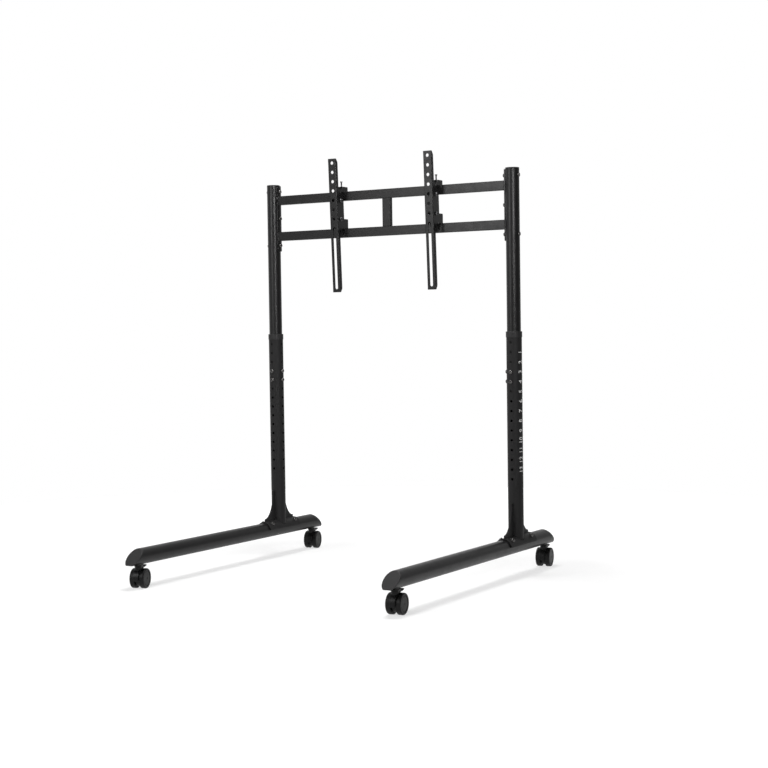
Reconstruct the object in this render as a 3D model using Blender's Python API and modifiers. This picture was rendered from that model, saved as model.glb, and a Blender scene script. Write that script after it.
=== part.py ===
"""Freestanding rolling stand for a large monitor.

Two round legs on casters each carry a drilled sleeve. Two upper posts slide in the sleeves and
carry a welded crossbar frame, on which two slotted mounting arms hang and slide sideways.
Metres, +Z up, +X to the right, the screen faces -Y. The origin is on the floor, midway between the
legs and midway along them.
"""
import math

import bmesh
import bpy
from mathutils import Matrix, Vector

# Overall layout
POST_SPACING = 0.900
LEG_LENGTH = 1.000
POST_TO_REAR_TIP = 0.235
SLEEVE_TOP = 0.750
POST_TOP = 1.252

# Fits
GAP = 0.0003
SLIDE_FIT = 0.0005

# Legs: round tube pressed flat underneath, both ends cut on the slant
LEG_RADIUS = 0.025
LEG_FLAT = 0.022
LEG_WALL = 0.002
LEG_END_SLOPE = 1.0
CAP_FLANGE = 0.004
CAP_PLUG_DEPTH = 0.010
CAP_PLUG_WALL = 0.002
TIP_TO_STEM = 0.043

# Lower post: sleeve welded to a saddle with two gussets
SLEEVE_RADIUS = 0.024
SLEEVE_WALL = 0.002
SADDLE_WALL = 0.004
SADDLE_LENGTH = 0.175
SADDLE_WRAP = math.radians(85)
GUSSET_THICKNESS = 0.004
GUSSET_HEIGHT = 0.100
GUSSET_REACH = 0.080
GUSSET_LIP = 0.008
BOSS_RADIUS = 0.0075
BOSS_PROUD = 0.0003
SADDLE_BOLT_OFFSET = 0.064
SADDLE_BOLT_ANGLE = math.radians(48)

# Height holes: a column in front and a column on the inner side of each sleeve
HEIGHT_HOLE_COUNT = 15
HEIGHT_HOLE_PITCH = 0.030
FIRST_HOLE_DEPTH = 0.030
UPPER_HEIGHT_BOLT = 3

# Collar on the sleeve's mouth
COLLAR_WALL = 0.0009
COLLAR_LIP = 0.004
COLLAR_SKIRT = 0.014

# Upper post
UPPER_WALL = 0.002
UPPER_TAIL = 0.045
POST_CAP_HEIGHT = 0.003
POST_CAP_PLUG = 0.012

# Crossbar frame
BAR_HEIGHT = 0.030
BAR_DEPTH = 0.015
BAR_WALL = 0.0015
TOP_BAR_DROP = 0.050
BAR_SPACING = 0.120
STRUT_WIDTH = 0.030
BRACKET_HEIGHT = 0.220
BRACKET_WALL = 0.004
BRACKET_WRAP = math.radians(28)
BRACKET_BOLT_DROPS = (0.020, 0.110, 0.200)

# Bolts, all M8
BOLT_RADIUS = 0.004
BOLT_HEAD_RADIUS = 0.0065
BOLT_HEAD_HEIGHT = 0.0045
BOLT_HEAD_EDGE = 0.001
BOLT_CROWN = 0.6
NUT_RADIUS = 0.0072
NUT_HEIGHT = 0.006
BARREL_NUT_RADIUS = 0.0065
BARREL_NUT_HEIGHT = 0.0022
NUT_PLATE_WIDTH = 0.010
NUT_PLATE_THICKNESS = 0.004
NUT_PLATE_MARGIN = 0.010

# Casters, each at rest turned a little about its stem
SWIVELS = {"left_front": math.radians(17), "left_rear": math.radians(13),
           "right_front": math.radians(7), "right_rear": math.radians(10)}
WHEEL_RADIUS = 0.030
WHEEL_WIDTH = 0.0155
WHEEL_CHAMFER = 0.002
CASTER_WIDTH = 0.046
CASTER_TRAIL = 0.0125
AXLE_RADIUS = 0.004
AXLE_CAP_WALL = 0.0024
FENDER_GAP = 0.0012
FENDER_WALL = 0.003
FENDER_WIDTH = 0.022
FENDER_FRONT_END = math.radians(190)
FENDER_REAR_END = math.radians(84)
WEB_RADIUS = 0.024
RIB_SHARE = 0.9
NECK_ROOT = 0.8
NECK_RADIUS = 0.0115
STEM_GAP = 0.003
LEG_CLEARANCE = 0.014
STEM_PIN_RADIUS = 0.004
STEM_PIN_LENGTH = 0.018
STEM_THREAD_RADIUS = 0.005
STEM_SHOULDER_RADIUS = 0.0085
STEM_TOP_REACH = 0.012
STEM_NUT_HEIGHT = 0.006

# Brake pedal
PEDAL_PIVOT_BACK = 0.0175
PEDAL_PIVOT_DROP = 0.0085
PEDAL_BARREL_RADIUS = 0.0033
PEDAL_BARREL_WIDTH = 0.010
PEDAL_PIN_RADIUS = 0.0015
PEDAL_LENGTH = 0.0225
PEDAL_WIDTH = 0.022
PEDAL_THICKNESS = 0.003
PEDAL_TILT = math.radians(12)
CHEEK_WIDTH = 0.019
CHEEK_MARGIN = 0.001
CHEEK_SET_DOWN = 0.002
PEDAL_OVERLAP = 0.001

# Mounting arm: rail, hook bracket and their screws
ARM_POSITIONS = {"left": -0.1755, "right": 0.182}
RAIL_WIDTH = 0.030
RAIL_WALL = 0.0025
RAIL_LENGTH = 0.433
RAIL_ABOVE_BAR = 0.120
RAIL_FACE = 0.050
RAIL_SIDE_DEPTH = 0.012
RAIL_END_DEPTH = 0.004
RAIL_TAPER = 0.012
RAIL_HOLE_RADIUS = 0.00525
RAIL_HOLE_COUNT = 7
RAIL_HOLE_PITCH = 0.030
RAIL_FIRST_HOLE = 0.014
RAIL_SLOT_DROP = 0.027
RAIL_SLOT_LENGTH = 0.202
EAR_BACK = 0.011
EAR_TOP = -0.003
EAR_BOTTOM = -0.095
EAR_RUN = 0.018
REST_TILT = math.radians(2.5)
TILT_TRAVEL = math.radians(10)
PIVOT_FORWARD = 0.028
PIVOT_DROP = 0.016
TILT_BOLT_DROP = 0.060
PLATE_WALL = 0.0025
PLATE_MARGIN = 0.008
PLATE_CORNER = 0.005
HOOK_BACK = 0.019
TOP_HOOK_RISE = 0.016
LOWER_HOOK_RISE = 0.031
HOOK_DROP = 0.020
HOOK_CHAMFER = 0.004
LOWER_NOSE = 0.006
SHELF_FRONT = 0.012
LOCK_RADIUS = 0.0025
LOCK_HEAD_RADIUS = 0.0042
LOCK_HEAD_HEIGHT = 0.003
LOCK_HEAD_RISE = 0.018

# Cutters run past the faces they cut, by a little or right through a small piece
PAST = 0.010
THROUGH = 0.100

# Facets
TUBE_SIDES = 16
LEG_STEPS = 18
CUTTER_SIDES = 32
WHEEL_SIDES = 24
SMALL_SIDES = 8

# Worked out from the values above
POST_X = POST_SPACING / 2
FRONT_TIP_Y = -LEG_LENGTH / 2
REAR_TIP_Y = LEG_LENGTH / 2
POST_Y = REAR_TIP_Y - POST_TO_REAR_TIP
LEG_UNDERSIDE = 2 * WHEEL_RADIUS + LEG_CLEARANCE
LEG_AXIS_Z = LEG_UNDERSIDE + LEG_FLAT
SADDLE_INNER = LEG_RADIUS + GAP
SADDLE_OUTER = SADDLE_INNER + SADDLE_WALL
BOSS_FACE = SADDLE_OUTER + BOSS_PROUD
SADDLE_BOLT_ANGLES = (SADDLE_BOLT_ANGLE, math.pi - SADDLE_BOLT_ANGLE)
LEG_PLATE_RADIUS = (LEG_RADIUS - LEG_WALL) * math.cos(math.pi / LEG_STEPS) - GAP
COLLAR_BORE = SLEEVE_RADIUS + GAP
COLLAR_RADIUS = COLLAR_BORE + COLLAR_WALL
SLEEVE_BORE = SLEEVE_RADIUS - SLEEVE_WALL
UPPER_RADIUS = SLEEVE_BORE - SLIDE_FIT
UPPER_BORE = UPPER_RADIUS - UPPER_WALL
UPPER_BORE_FLAT = UPPER_BORE * math.cos(math.pi / TUBE_SIDES)
BRACKET_INNER = UPPER_RADIUS + GAP
BRACKET_OUTER = BRACKET_INNER + BRACKET_WALL
TOP_BAR_Z = POST_TOP - TOP_BAR_DROP
FIRST_HOLE_Z = SLEEVE_TOP - FIRST_HOLE_DEPTH
HEIGHT_BOLT_ZS = [FIRST_HOLE_Z - HEIGHT_HOLE_PITCH * (UPPER_HEIGHT_BOLT + k) for k in (0, 1)]
UPPER_LENGTH = POST_TOP - HEIGHT_BOLT_ZS[-1] + UPPER_TAIL
STEM_YS = {"front": FRONT_TIP_Y + TIP_TO_STEM, "rear": REAR_TIP_Y - TIP_TO_STEM}
NECK_TOP = LEG_UNDERSIDE - STEM_GAP
PLATE_OUTER = RAIL_WIDTH / 2 - RAIL_WALL - GAP
PIVOT = Vector((0, POST_Y - PIVOT_FORWARD, TOP_BAR_Z - PIVOT_DROP))

STEEL = ("black_powder_coat", (0.028, 0.026, 0.027), 0.45, 0.0)
PLASTIC = ("black_plastic", (0.022, 0.022, 0.022), 0.50, 0.0)
RUBBER = ("caster_tread", (0.020, 0.020, 0.020), 0.60, 0.0)
ZINC = ("zinc_fastener", (0.45, 0.45, 0.46), 0.35, 1.0)

for old in list(bpy.data.objects):
    bpy.data.objects.remove(old, do_unlink=True)
stand = bpy.data.collections.new("monitor_stand")
bpy.context.scene.collection.children.link(stand)


def material(spec):
    """The Principled material of one finish, made once."""
    name, colour, roughness, metallic = spec
    found = bpy.data.materials.get(name)
    if found:
        return found
    made = bpy.data.materials.new(name)
    made.use_nodes = True
    shader = made.node_tree.nodes["Principled BSDF"]
    shader.inputs["Base Color"].default_value = (*colour, 1)
    shader.inputs["Roughness"].default_value = roughness
    shader.inputs["Metallic"].default_value = metallic
    return made


def evaluated(obj):
    """The object's mesh with its modifiers applied, welded."""
    bpy.context.view_layer.update()
    mesh = bpy.data.meshes.new_from_object(obj.evaluated_get(bpy.context.evaluated_depsgraph_get()))
    shape = bmesh.new()
    shape.from_mesh(mesh)
    bmesh.ops.remove_doubles(shape, verts=shape.verts, dist=1e-6)
    shape.to_mesh(mesh)
    shape.free()
    return mesh


def from_mesh(mesh, name="shape"):
    obj = bpy.data.objects.new(name, mesh)
    stand.objects.link(obj)
    return obj


def outline(loops, start, end):
    """A flat outline in XY, holes included, extruded along Z from start to end."""
    curve = bpy.data.curves.new("outline", "CURVE")
    curve.dimensions = "2D"
    curve.fill_mode = "BOTH"
    curve.extrude = (end - start) / 2
    for loop in loops:
        spline = curve.splines.new("POLY")
        spline.points.add(len(loop) - 1)
        for point, (x, y) in zip(spline.points, loop):
            point.co = (x, y, 0, 1)
        spline.use_cyclic_u = True
    drawn = bpy.data.objects.new("outline", curve)
    stand.objects.link(drawn)
    mesh = evaluated(drawn)
    bpy.data.objects.remove(drawn, do_unlink=True)
    mesh.transform(Matrix.Translation((0, 0, (start + end) / 2)))
    return from_mesh(mesh)


def ring_points(radius, sides=TUBE_SIDES):
    return [(radius * math.cos(a), radius * math.sin(a))
            for a in (2 * math.pi * (k + 0.5) / sides for k in range(sides))]


def arc_points(radius, start, end, steps):
    return [(radius * math.cos(start + (end - start) * k / steps),
             radius * math.sin(start + (end - start) * k / steps)) for k in range(steps + 1)]


def cylinder(radius, start, end, sides=TUBE_SIDES):
    """A cylinder along Z."""
    shape = bmesh.new()
    turn = Matrix.Rotation(math.pi / sides, 4, "Z")
    bmesh.ops.create_cone(shape, cap_ends=True, segments=sides, radius1=radius, radius2=radius,
                          depth=end - start, matrix=Matrix.Translation((0, 0, (start + end) / 2)) @ turn)
    mesh = bpy.data.meshes.new("cylinder")
    shape.to_mesh(mesh)
    shape.free()
    return from_mesh(mesh)


def clearing_cylinder(radius, start, end):
    """A cutter whose flats lie on the radius, so the cut clears a round bar of that radius."""
    return cylinder(radius / math.cos(math.pi / CUTTER_SIDES), start, end, CUTTER_SIDES)


def box(low, high):
    size = Vector(high) - Vector(low)
    shape = bmesh.new()
    bmesh.ops.create_cube(shape, size=1, matrix=Matrix.Translation((Vector(low) + Vector(high)) / 2)
                          @ Matrix.Diagonal((*size, 1)))
    mesh = bpy.data.meshes.new("box")
    shape.to_mesh(mesh)
    shape.free()
    return from_mesh(mesh)


def turned(profile, sides=SMALL_SIDES):
    """A solid of revolution about Z from (radius, z) points that run top to bottom."""
    mesh = bpy.data.meshes.new("profile")
    points = [(radius, 0, z) for radius, z in profile]
    mesh.from_pydata(points, [(k, k + 1) for k in range(len(points) - 1)], [])
    obj = from_mesh(mesh)
    screw = obj.modifiers.new("turn", "SCREW")
    screw.angle = 2 * math.pi
    screw.steps = sides
    screw.render_steps = sides
    screw.use_merge_vertices = True
    screw.merge_threshold = 0.00001
    solid = evaluated(obj)
    bpy.data.objects.remove(obj, do_unlink=True)
    solid.transform(Matrix.Rotation(math.pi / sides, 4, "Z"))
    return from_mesh(solid)


def placed(obj, matrix):
    obj.data.transform(matrix)
    return obj


def shifted(obj, x=0.0, y=0.0, z=0.0):
    return placed(obj, Matrix.Translation((x, y, z)))


def along_x(obj):
    """Turns a shape made along Z to lie along X."""
    return placed(obj, Matrix.Rotation(math.pi / 2, 4, "Y"))


def along_y(obj):
    """Turns a shape drawn in XY and made along Z: drawing y goes up, Z goes to -Y."""
    return placed(obj, Matrix.Rotation(math.pi / 2, 4, "X"))


def leaned(obj, angle):
    """Turns a shape made along Z to lie in the XZ plane, at that angle above +X."""
    return placed(along_x(obj), Matrix.Rotation(-angle, 4, "Y"))


def side_on(obj):
    """Turns a shape drawn in XY so that drawing x is world Y, drawing y is up and Z is X."""
    return placed(obj, Matrix(((0, 0, 1, 0), (1, 0, 0, 0), (0, 1, 0, 0), (0, 0, 0, 1))))


def combine(obj, tools, operation):
    """Applies one Boolean for each tool and removes the tools."""
    for tool in tools:
        step = obj.modifiers.new("cut", "BOOLEAN")
        step.operation = operation
        step.object = tool
        mesh = evaluated(obj)
        obj.modifiers.clear()
        obj.data = mesh
        bpy.data.objects.remove(tool, do_unlink=True)
    return obj


def add(obj, *tools):
    return combine(obj, tools, "UNION")


def cut(obj, *tools):
    return combine(obj, tools, "DIFFERENCE")


def hole_radius(radius):
    """The facet corners' radius of a hole round a bar that lies in it facet to facet."""
    return radius + GAP / math.cos(math.pi / SMALL_SIDES)


def bore_radius(radius):
    """The facet corners' radius of a hole in which a bar can turn."""
    return (radius + GAP) / math.cos(math.pi / SMALL_SIDES)


def hole(radius, start, end):
    return cylinder(radius, start, end, SMALL_SIDES)


def finish(obj, name, spec, at=(0, 0, 0), turn=0.0, smooth=True):
    """Names a piece, gives it its finish and puts its origin where it turns or sits."""
    obj.name = name
    obj.data.name = name
    obj.data.materials.clear()
    obj.data.materials.append(material(spec))
    if smooth:
        obj.data.shade_smooth()
        obj.data.set_sharp_from_angle(angle=math.radians(35))
    obj.location = at
    obj.rotation_euler = (turn, 0, 0)
    return obj


def leg_loop(shrink=0.0):
    """The leg tube's outline seen from its end, with its flat underside, inset by shrink."""
    radius = LEG_RADIUS - shrink
    flat = LEG_FLAT - shrink
    edge = math.asin(flat / radius)
    return arc_points(radius, -edge, math.pi + edge, LEG_STEPS)


def saddle_drills(sign):
    """Cutters for the two saddle bolts in front (sign -1) or behind, about the leg's axis."""
    drills = [leaned(hole(hole_radius(BOLT_RADIUS), LEG_RADIUS / 2, LEG_RADIUS * 2), angle)
              for angle in SADDLE_BOLT_ANGLES]
    return [shifted(drill, y=sign * SADDLE_BOLT_OFFSET) for drill in drills]


def slant(obj, front, rear):
    """Moves a leg shape's two ends to front and rear, each set back by its height."""
    for vertex in obj.data.vertices:
        height = (vertex.co.z + LEG_FLAT) * LEG_END_SLOPE
        vertex.co.y = front + height if vertex.co.y < 0 else rear - height
    return obj


def leg_tube(side, x):
    tube = along_y(outline([leg_loop(), leg_loop(LEG_WALL)], -1, 1))
    slant(tube, FRONT_TIP_Y + CAP_FLANGE, REAR_TIP_Y - CAP_FLANGE)
    for sign in (-1, 1):
        cut(tube, *[shifted(drill, y=POST_Y) for drill in saddle_drills(sign)])
    for y in STEM_YS.values():
        cut(tube, shifted(hole(hole_radius(STEM_THREAD_RADIUS), -LEG_RADIUS * 2, 0), y=y))
    finish(tube, f"{side}_leg_tube", STEEL, (x, 0, LEG_AXIS_Z))


def leg_cap(side, end, x):
    """A slanted cover with a hollow plug that goes into the tube."""
    def layer(loops, start, finish_y):
        solid = along_y(outline(loops, -1, 1))
        for vertex in solid.data.vertices:
            y = start if vertex.co.y < 0 else finish_y
            vertex.co.y = y + (vertex.co.z + LEG_FLAT) * LEG_END_SLOPE
        return solid
    plug_loop = leg_loop(LEG_WALL + GAP)
    plug_inside = leg_loop(LEG_WALL + GAP + CAP_PLUG_WALL)
    cover = CAP_FLANGE - GAP
    cap = layer([leg_loop()], 0, cover)
    add(cap, layer([plug_loop, plug_inside], cover / 2, cover + CAP_PLUG_DEPTH))
    tip = FRONT_TIP_Y
    if end == "rear":
        placed(cap, Matrix.Rotation(math.pi, 4, "Z"))
        tip = REAR_TIP_Y
    finish(cap, f"{side}_{end}_leg_cap", PLASTIC, (x, tip, LEG_AXIS_Z))


def gusset():
    """A plate in the YZ plane whose free edge is a hollow curve."""
    inner = SLEEVE_BORE + SLEEVE_WALL / 2
    foot = SADDLE_INNER + SADDLE_WALL / 2
    reach = GUSSET_REACH - SLEEVE_RADIUS - GUSSET_LIP
    rise = GUSSET_HEIGHT - GUSSET_LIP
    hollow = [(SLEEVE_RADIUS + GUSSET_LIP + reach * (1 - math.sin(a)),
               SADDLE_OUTER + GUSSET_LIP + rise * (1 - math.cos(a)))
              for a in (math.pi / 2 * k / 8 for k in range(9))]
    loop = [(inner, foot), (GUSSET_REACH, foot)] + hollow + [(inner, SADDLE_OUTER + GUSSET_HEIGHT)]
    return side_on(outline([loop], -GUSSET_THICKNESS / 2, GUSSET_THICKNESS / 2))


def height_holes(inward):
    """The two columns of holes of a sleeve, as cutters."""
    radius = hole_radius(BOLT_RADIUS)
    zs = [FIRST_HOLE_Z - k * HEIGHT_HOLE_PITCH for k in range(HEIGHT_HOLE_COUNT)]
    front = [shifted(along_y(hole(radius, SLEEVE_BORE / 2, SLEEVE_RADIUS * 1.5)), z=z) for z in zs]
    side = [shifted(along_x(hole(radius, SLEEVE_BORE / 2, SLEEVE_RADIUS * 1.5)), z=z) for z in zs]
    if inward < 0:
        for drill in side:
            placed(drill, Matrix.Rotation(math.pi, 4, "Z"))
    return front + side


def lower_post(side, x, inward):
    """Sleeve, saddle, gussets and bolt bosses, welded into one piece."""
    half = math.pi / 2
    saddle_loop = (arc_points(SADDLE_OUTER, half - SADDLE_WRAP, half + SADDLE_WRAP, 20)
                   + arc_points(SADDLE_INNER, half + SADDLE_WRAP, half - SADDLE_WRAP, 20))
    saddle = along_y(outline([saddle_loop], -SADDLE_LENGTH / 2, SADDLE_LENGTH / 2))
    shifted(saddle, z=LEG_AXIS_Z)
    sleeve = outline([ring_points(SLEEVE_RADIUS), ring_points(SLEEVE_BORE)], LEG_AXIS_Z, SLEEVE_TOP)
    seat = clearing_cylinder(SADDLE_INNER + SADDLE_WALL / 2, -SLEEVE_RADIUS * 2, SLEEVE_RADIUS * 2)
    cut(sleeve, shifted(along_y(seat), z=LEG_AXIS_Z))
    add(saddle, sleeve)
    for sign in (-1, 1):
        plate = shifted(gusset(), z=LEG_AXIS_Z)
        if sign < 0:
            placed(plate, Matrix.Rotation(math.pi, 4, "Z"))
        add(saddle, plate)
        for angle in SADDLE_BOLT_ANGLES:
            boss = leaned(cylinder(BOSS_RADIUS, SADDLE_INNER + SADDLE_WALL / 2, BOSS_FACE), angle)
            add(saddle, shifted(boss, y=sign * SADDLE_BOLT_OFFSET, z=LEG_AXIS_Z))
        cut(saddle, *[shifted(drill, z=LEG_AXIS_Z) for drill in saddle_drills(sign)])
    cut(saddle, *height_holes(inward))
    finish(saddle, f"{side}_lower_post", STEEL, (x, POST_Y, 0))


def collar(side, x):
    """The bush on the sleeve's mouth, which guides the upper post."""
    bore = UPPER_RADIUS + GAP
    profile = [(bore, COLLAR_LIP), (COLLAR_RADIUS, COLLAR_LIP),
               (COLLAR_RADIUS, -COLLAR_SKIRT), (COLLAR_BORE, -COLLAR_SKIRT),
               (COLLAR_BORE, GAP), (bore, GAP), (bore, COLLAR_LIP)]
    finish(turned(profile, TUBE_SIDES), f"{side}_sleeve_collar", PLASTIC, (x, POST_Y, SLEEVE_TOP))


def button_head(face):
    """The profile of a button head and its shank's start, for a head that sits on z = face."""
    return [(0, face + BOLT_HEAD_HEIGHT), (BOLT_HEAD_RADIUS * BOLT_CROWN, face + BOLT_HEAD_HEIGHT),
            (BOLT_HEAD_RADIUS, face + BOLT_HEAD_EDGE), (BOLT_HEAD_RADIUS, face), (BOLT_RADIUS, face)]


def screw(face, tip):
    """A button-head screw along Z, its head on z = face."""
    return turned(button_head(face) + [(BOLT_RADIUS, tip), (0, tip)])


def bolt(length, nut_radius=NUT_RADIUS, nut_height=NUT_HEIGHT):
    """A button-head bolt with its nut, along Z: the head sits on z = 0, the nut at -length."""
    end = -length - nut_height
    nut = [(nut_radius, -length), (nut_radius, end), (0, end)]
    return turned(button_head(0) + [(BOLT_RADIUS, -length)] + nut)


def saddle_bolts(side, x):
    """Each pair of saddle bolts screws into one curved nut plate inside the leg."""
    inner = LEG_PLATE_RADIUS - NUT_PLATE_THICKNESS
    start = SADDLE_BOLT_ANGLE - NUT_PLATE_MARGIN / LEG_PLATE_RADIUS
    loop = (arc_points(LEG_PLATE_RADIUS, start, math.pi - start, 12)
            + arc_points(inner, math.pi - start, start, 12))
    for end, sign in (("front", -1), ("rear", 1)):
        pair = along_y(outline([loop], -NUT_PLATE_WIDTH / 2, NUT_PLATE_WIDTH / 2))
        for angle in SADDLE_BOLT_ANGLES:
            add(pair, leaned(screw(BOSS_FACE + GAP, LEG_PLATE_RADIUS - NUT_PLATE_THICKNESS / 2), angle))
        finish(pair, f"{side}_{end}_saddle_bolts", ZINC, (x, POST_Y + sign * SADDLE_BOLT_OFFSET, LEG_AXIS_Z))


def upper_post(side, x, inward):
    """The sliding tube with its bolt holes. The origin is on its axis, at its top."""
    tube = outline([ring_points(UPPER_RADIUS), ring_points(UPPER_BORE)], -UPPER_LENGTH, 0)
    radius = hole_radius(BOLT_RADIUS)
    reach = UPPER_RADIUS * 1.5
    for z in HEIGHT_BOLT_ZS:
        cut(tube, shifted(along_y(hole(radius, UPPER_BORE / 2, reach)), z=z - POST_TOP))
        cut(tube, shifted(along_x(hole(radius, *sorted((inward * UPPER_BORE / 2, inward * reach)))),
                          z=z - POST_TOP))
    for drop in BRACKET_BOLT_DROPS:
        inner_only = drop == BRACKET_BOLT_DROPS[1]
        far = 0 if inner_only else -inward * reach
        cut(tube, shifted(along_x(hole(radius, *sorted((inward * reach, far)))), z=-drop))
    finish(tube, f"{side}_upper_post", STEEL, (x, POST_Y, POST_TOP))


def post_cap(side, x):
    """A flat cap with a hollow plug in the tube's mouth."""
    plug = UPPER_BORE - GAP
    profile = [(0, POST_CAP_HEIGHT), (UPPER_RADIUS, POST_CAP_HEIGHT), (UPPER_RADIUS, GAP), (plug, GAP),
               (plug, -POST_CAP_PLUG), (plug - CAP_PLUG_WALL, -POST_CAP_PLUG),
               (plug - CAP_PLUG_WALL, 0), (0, 0)]
    finish(turned(profile, TUBE_SIDES), f"{side}_post_cap", PLASTIC, (x, POST_Y, POST_TOP))


def crossbar_frame():
    """Two hollow bars and two curved end brackets, welded into one piece."""
    bar_end = POST_X - BRACKET_INNER - BRACKET_WALL / 2
    top = 0.0
    low = -BAR_SPACING
    half_depth = BAR_DEPTH / 2
    half_height = BAR_HEIGHT / 2
    frame = box((-bar_end, -half_depth, top - half_height), (bar_end, half_depth, top + half_height))
    add(frame, box((-bar_end, -half_depth, low - half_height), (bar_end, half_depth, low + half_height)))
    for sign in (-1, 1):
        facing = 0 if sign < 0 else math.pi
        loop = (arc_points(BRACKET_OUTER, facing - BRACKET_WRAP, facing + BRACKET_WRAP, 12)
                + arc_points(BRACKET_INNER, facing + BRACKET_WRAP, facing - BRACKET_WRAP, 12))
        plate = outline([loop], TOP_BAR_DROP - BRACKET_HEIGHT, TOP_BAR_DROP)
        add(frame, shifted(plate, x=sign * POST_X))
        for drop in BRACKET_BOLT_DROPS:
            near = POST_X - BRACKET_OUTER - PAST
            drill = along_x(hole(hole_radius(BOLT_RADIUS), *sorted((sign * near, sign * POST_X))))
            cut(frame, shifted(drill, z=TOP_BAR_DROP - drop))
    inner_depth = half_depth - BAR_WALL
    inner_height = half_height - BAR_WALL
    hollow = box((-POST_X, -inner_depth, top - inner_height), (POST_X, inner_depth, top + inner_height))
    add(hollow, box((-POST_X, -inner_depth, low - inner_height), (POST_X, inner_depth, low + inner_height)))
    cut(frame, hollow)
    finish(frame, "crossbar_frame", STEEL, (0, POST_Y, TOP_BAR_Z), smooth=False)


def crossbar_strut():
    """The upright tube in the middle, between the bars' facing sides."""
    low = -BAR_SPACING + BAR_HEIGHT / 2 + GAP
    high = -BAR_HEIGHT / 2 - GAP
    half_width = STRUT_WIDTH / 2
    half_depth = BAR_DEPTH / 2
    strut = box((-half_width, -half_depth, low), (half_width, half_depth, high))
    half_width -= BAR_WALL
    half_depth -= BAR_WALL
    cut(strut, box((-half_width, -half_depth, low - PAST), (half_width, half_depth, high + PAST)))
    finish(strut, "crossbar_strut", STEEL, (0, POST_Y, TOP_BAR_Z), smooth=False)


def crossbar_bolts(side, x, inward):
    """The middle bolt holds the post's inner wall, the others go right through to a low barrel nut."""
    names = ("top", "middle", "bottom")
    head_face = BRACKET_OUTER + GAP
    inner_seat = math.sqrt(UPPER_BORE_FLAT ** 2 - NUT_RADIUS ** 2) - GAP
    outer_seat = UPPER_RADIUS + GAP
    for name, drop in zip(names, BRACKET_BOLT_DROPS):
        if name == "middle":
            piece = bolt(head_face - inner_seat)
        else:
            piece = bolt(head_face + outer_seat, BARREL_NUT_RADIUS, BARREL_NUT_HEIGHT)
        shifted(along_x(piece), x=head_face)
        if inward < 0:
            placed(piece, Matrix.Rotation(math.pi, 4, "Z"))
        finish(piece, f"{side}_{name}_crossbar_bolt", ZINC, (x, POST_Y, POST_TOP - drop))


def height_bolts(side, x, inward):
    """Each pair of height bolts screws into one nut plate inside the upper post."""
    half_width = NUT_PLATE_WIDTH / 2
    plate_face = math.sqrt(UPPER_BORE_FLAT ** 2 - half_width ** 2) - GAP
    low = HEIGHT_BOLT_ZS[1] - NUT_PLATE_MARGIN
    high = HEIGHT_BOLT_ZS[0] + NUT_PLATE_MARGIN
    for place in ("front", "inner"):
        pair = box((plate_face - NUT_PLATE_THICKNESS, -half_width, low), (plate_face, half_width, high))
        for z in HEIGHT_BOLT_ZS:
            part = screw(SLEEVE_RADIUS + GAP, plate_face - NUT_PLATE_THICKNESS / 2)
            add(pair, shifted(along_x(part), z=z))
        angle = -math.pi / 2 if place == "front" else (0 if inward > 0 else math.pi)
        placed(pair, Matrix.Rotation(angle, 4, "Z"))
        finish(pair, f"{side}_{place}_height_bolts", ZINC, (x, POST_Y, 0))


def caster_stem(name, x, y):
    """The pin under the leg: a smooth pin for the caster, a shoulder, a thread and its nut."""
    thread_top = STEM_TOP_REACH
    nut_base = LEG_WALL + GAP
    profile = [(0, thread_top), (STEM_THREAD_RADIUS, thread_top),
               (STEM_THREAD_RADIUS, nut_base + STEM_NUT_HEIGHT),
               (STEM_SHOULDER_RADIUS, nut_base + STEM_NUT_HEIGHT),
               (STEM_SHOULDER_RADIUS, nut_base), (STEM_THREAD_RADIUS, nut_base),
               (STEM_THREAD_RADIUS, -GAP), (STEM_SHOULDER_RADIUS, -GAP),
               (STEM_SHOULDER_RADIUS, -STEM_GAP + GAP), (STEM_PIN_RADIUS, -STEM_GAP + GAP),
               (STEM_PIN_RADIUS, -STEM_GAP - STEM_PIN_LENGTH), (0, -STEM_GAP - STEM_PIN_LENGTH)]
    finish(turned(profile), f"{name}_caster_stem", ZINC, (x, y, LEG_UNDERSIDE))


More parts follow.
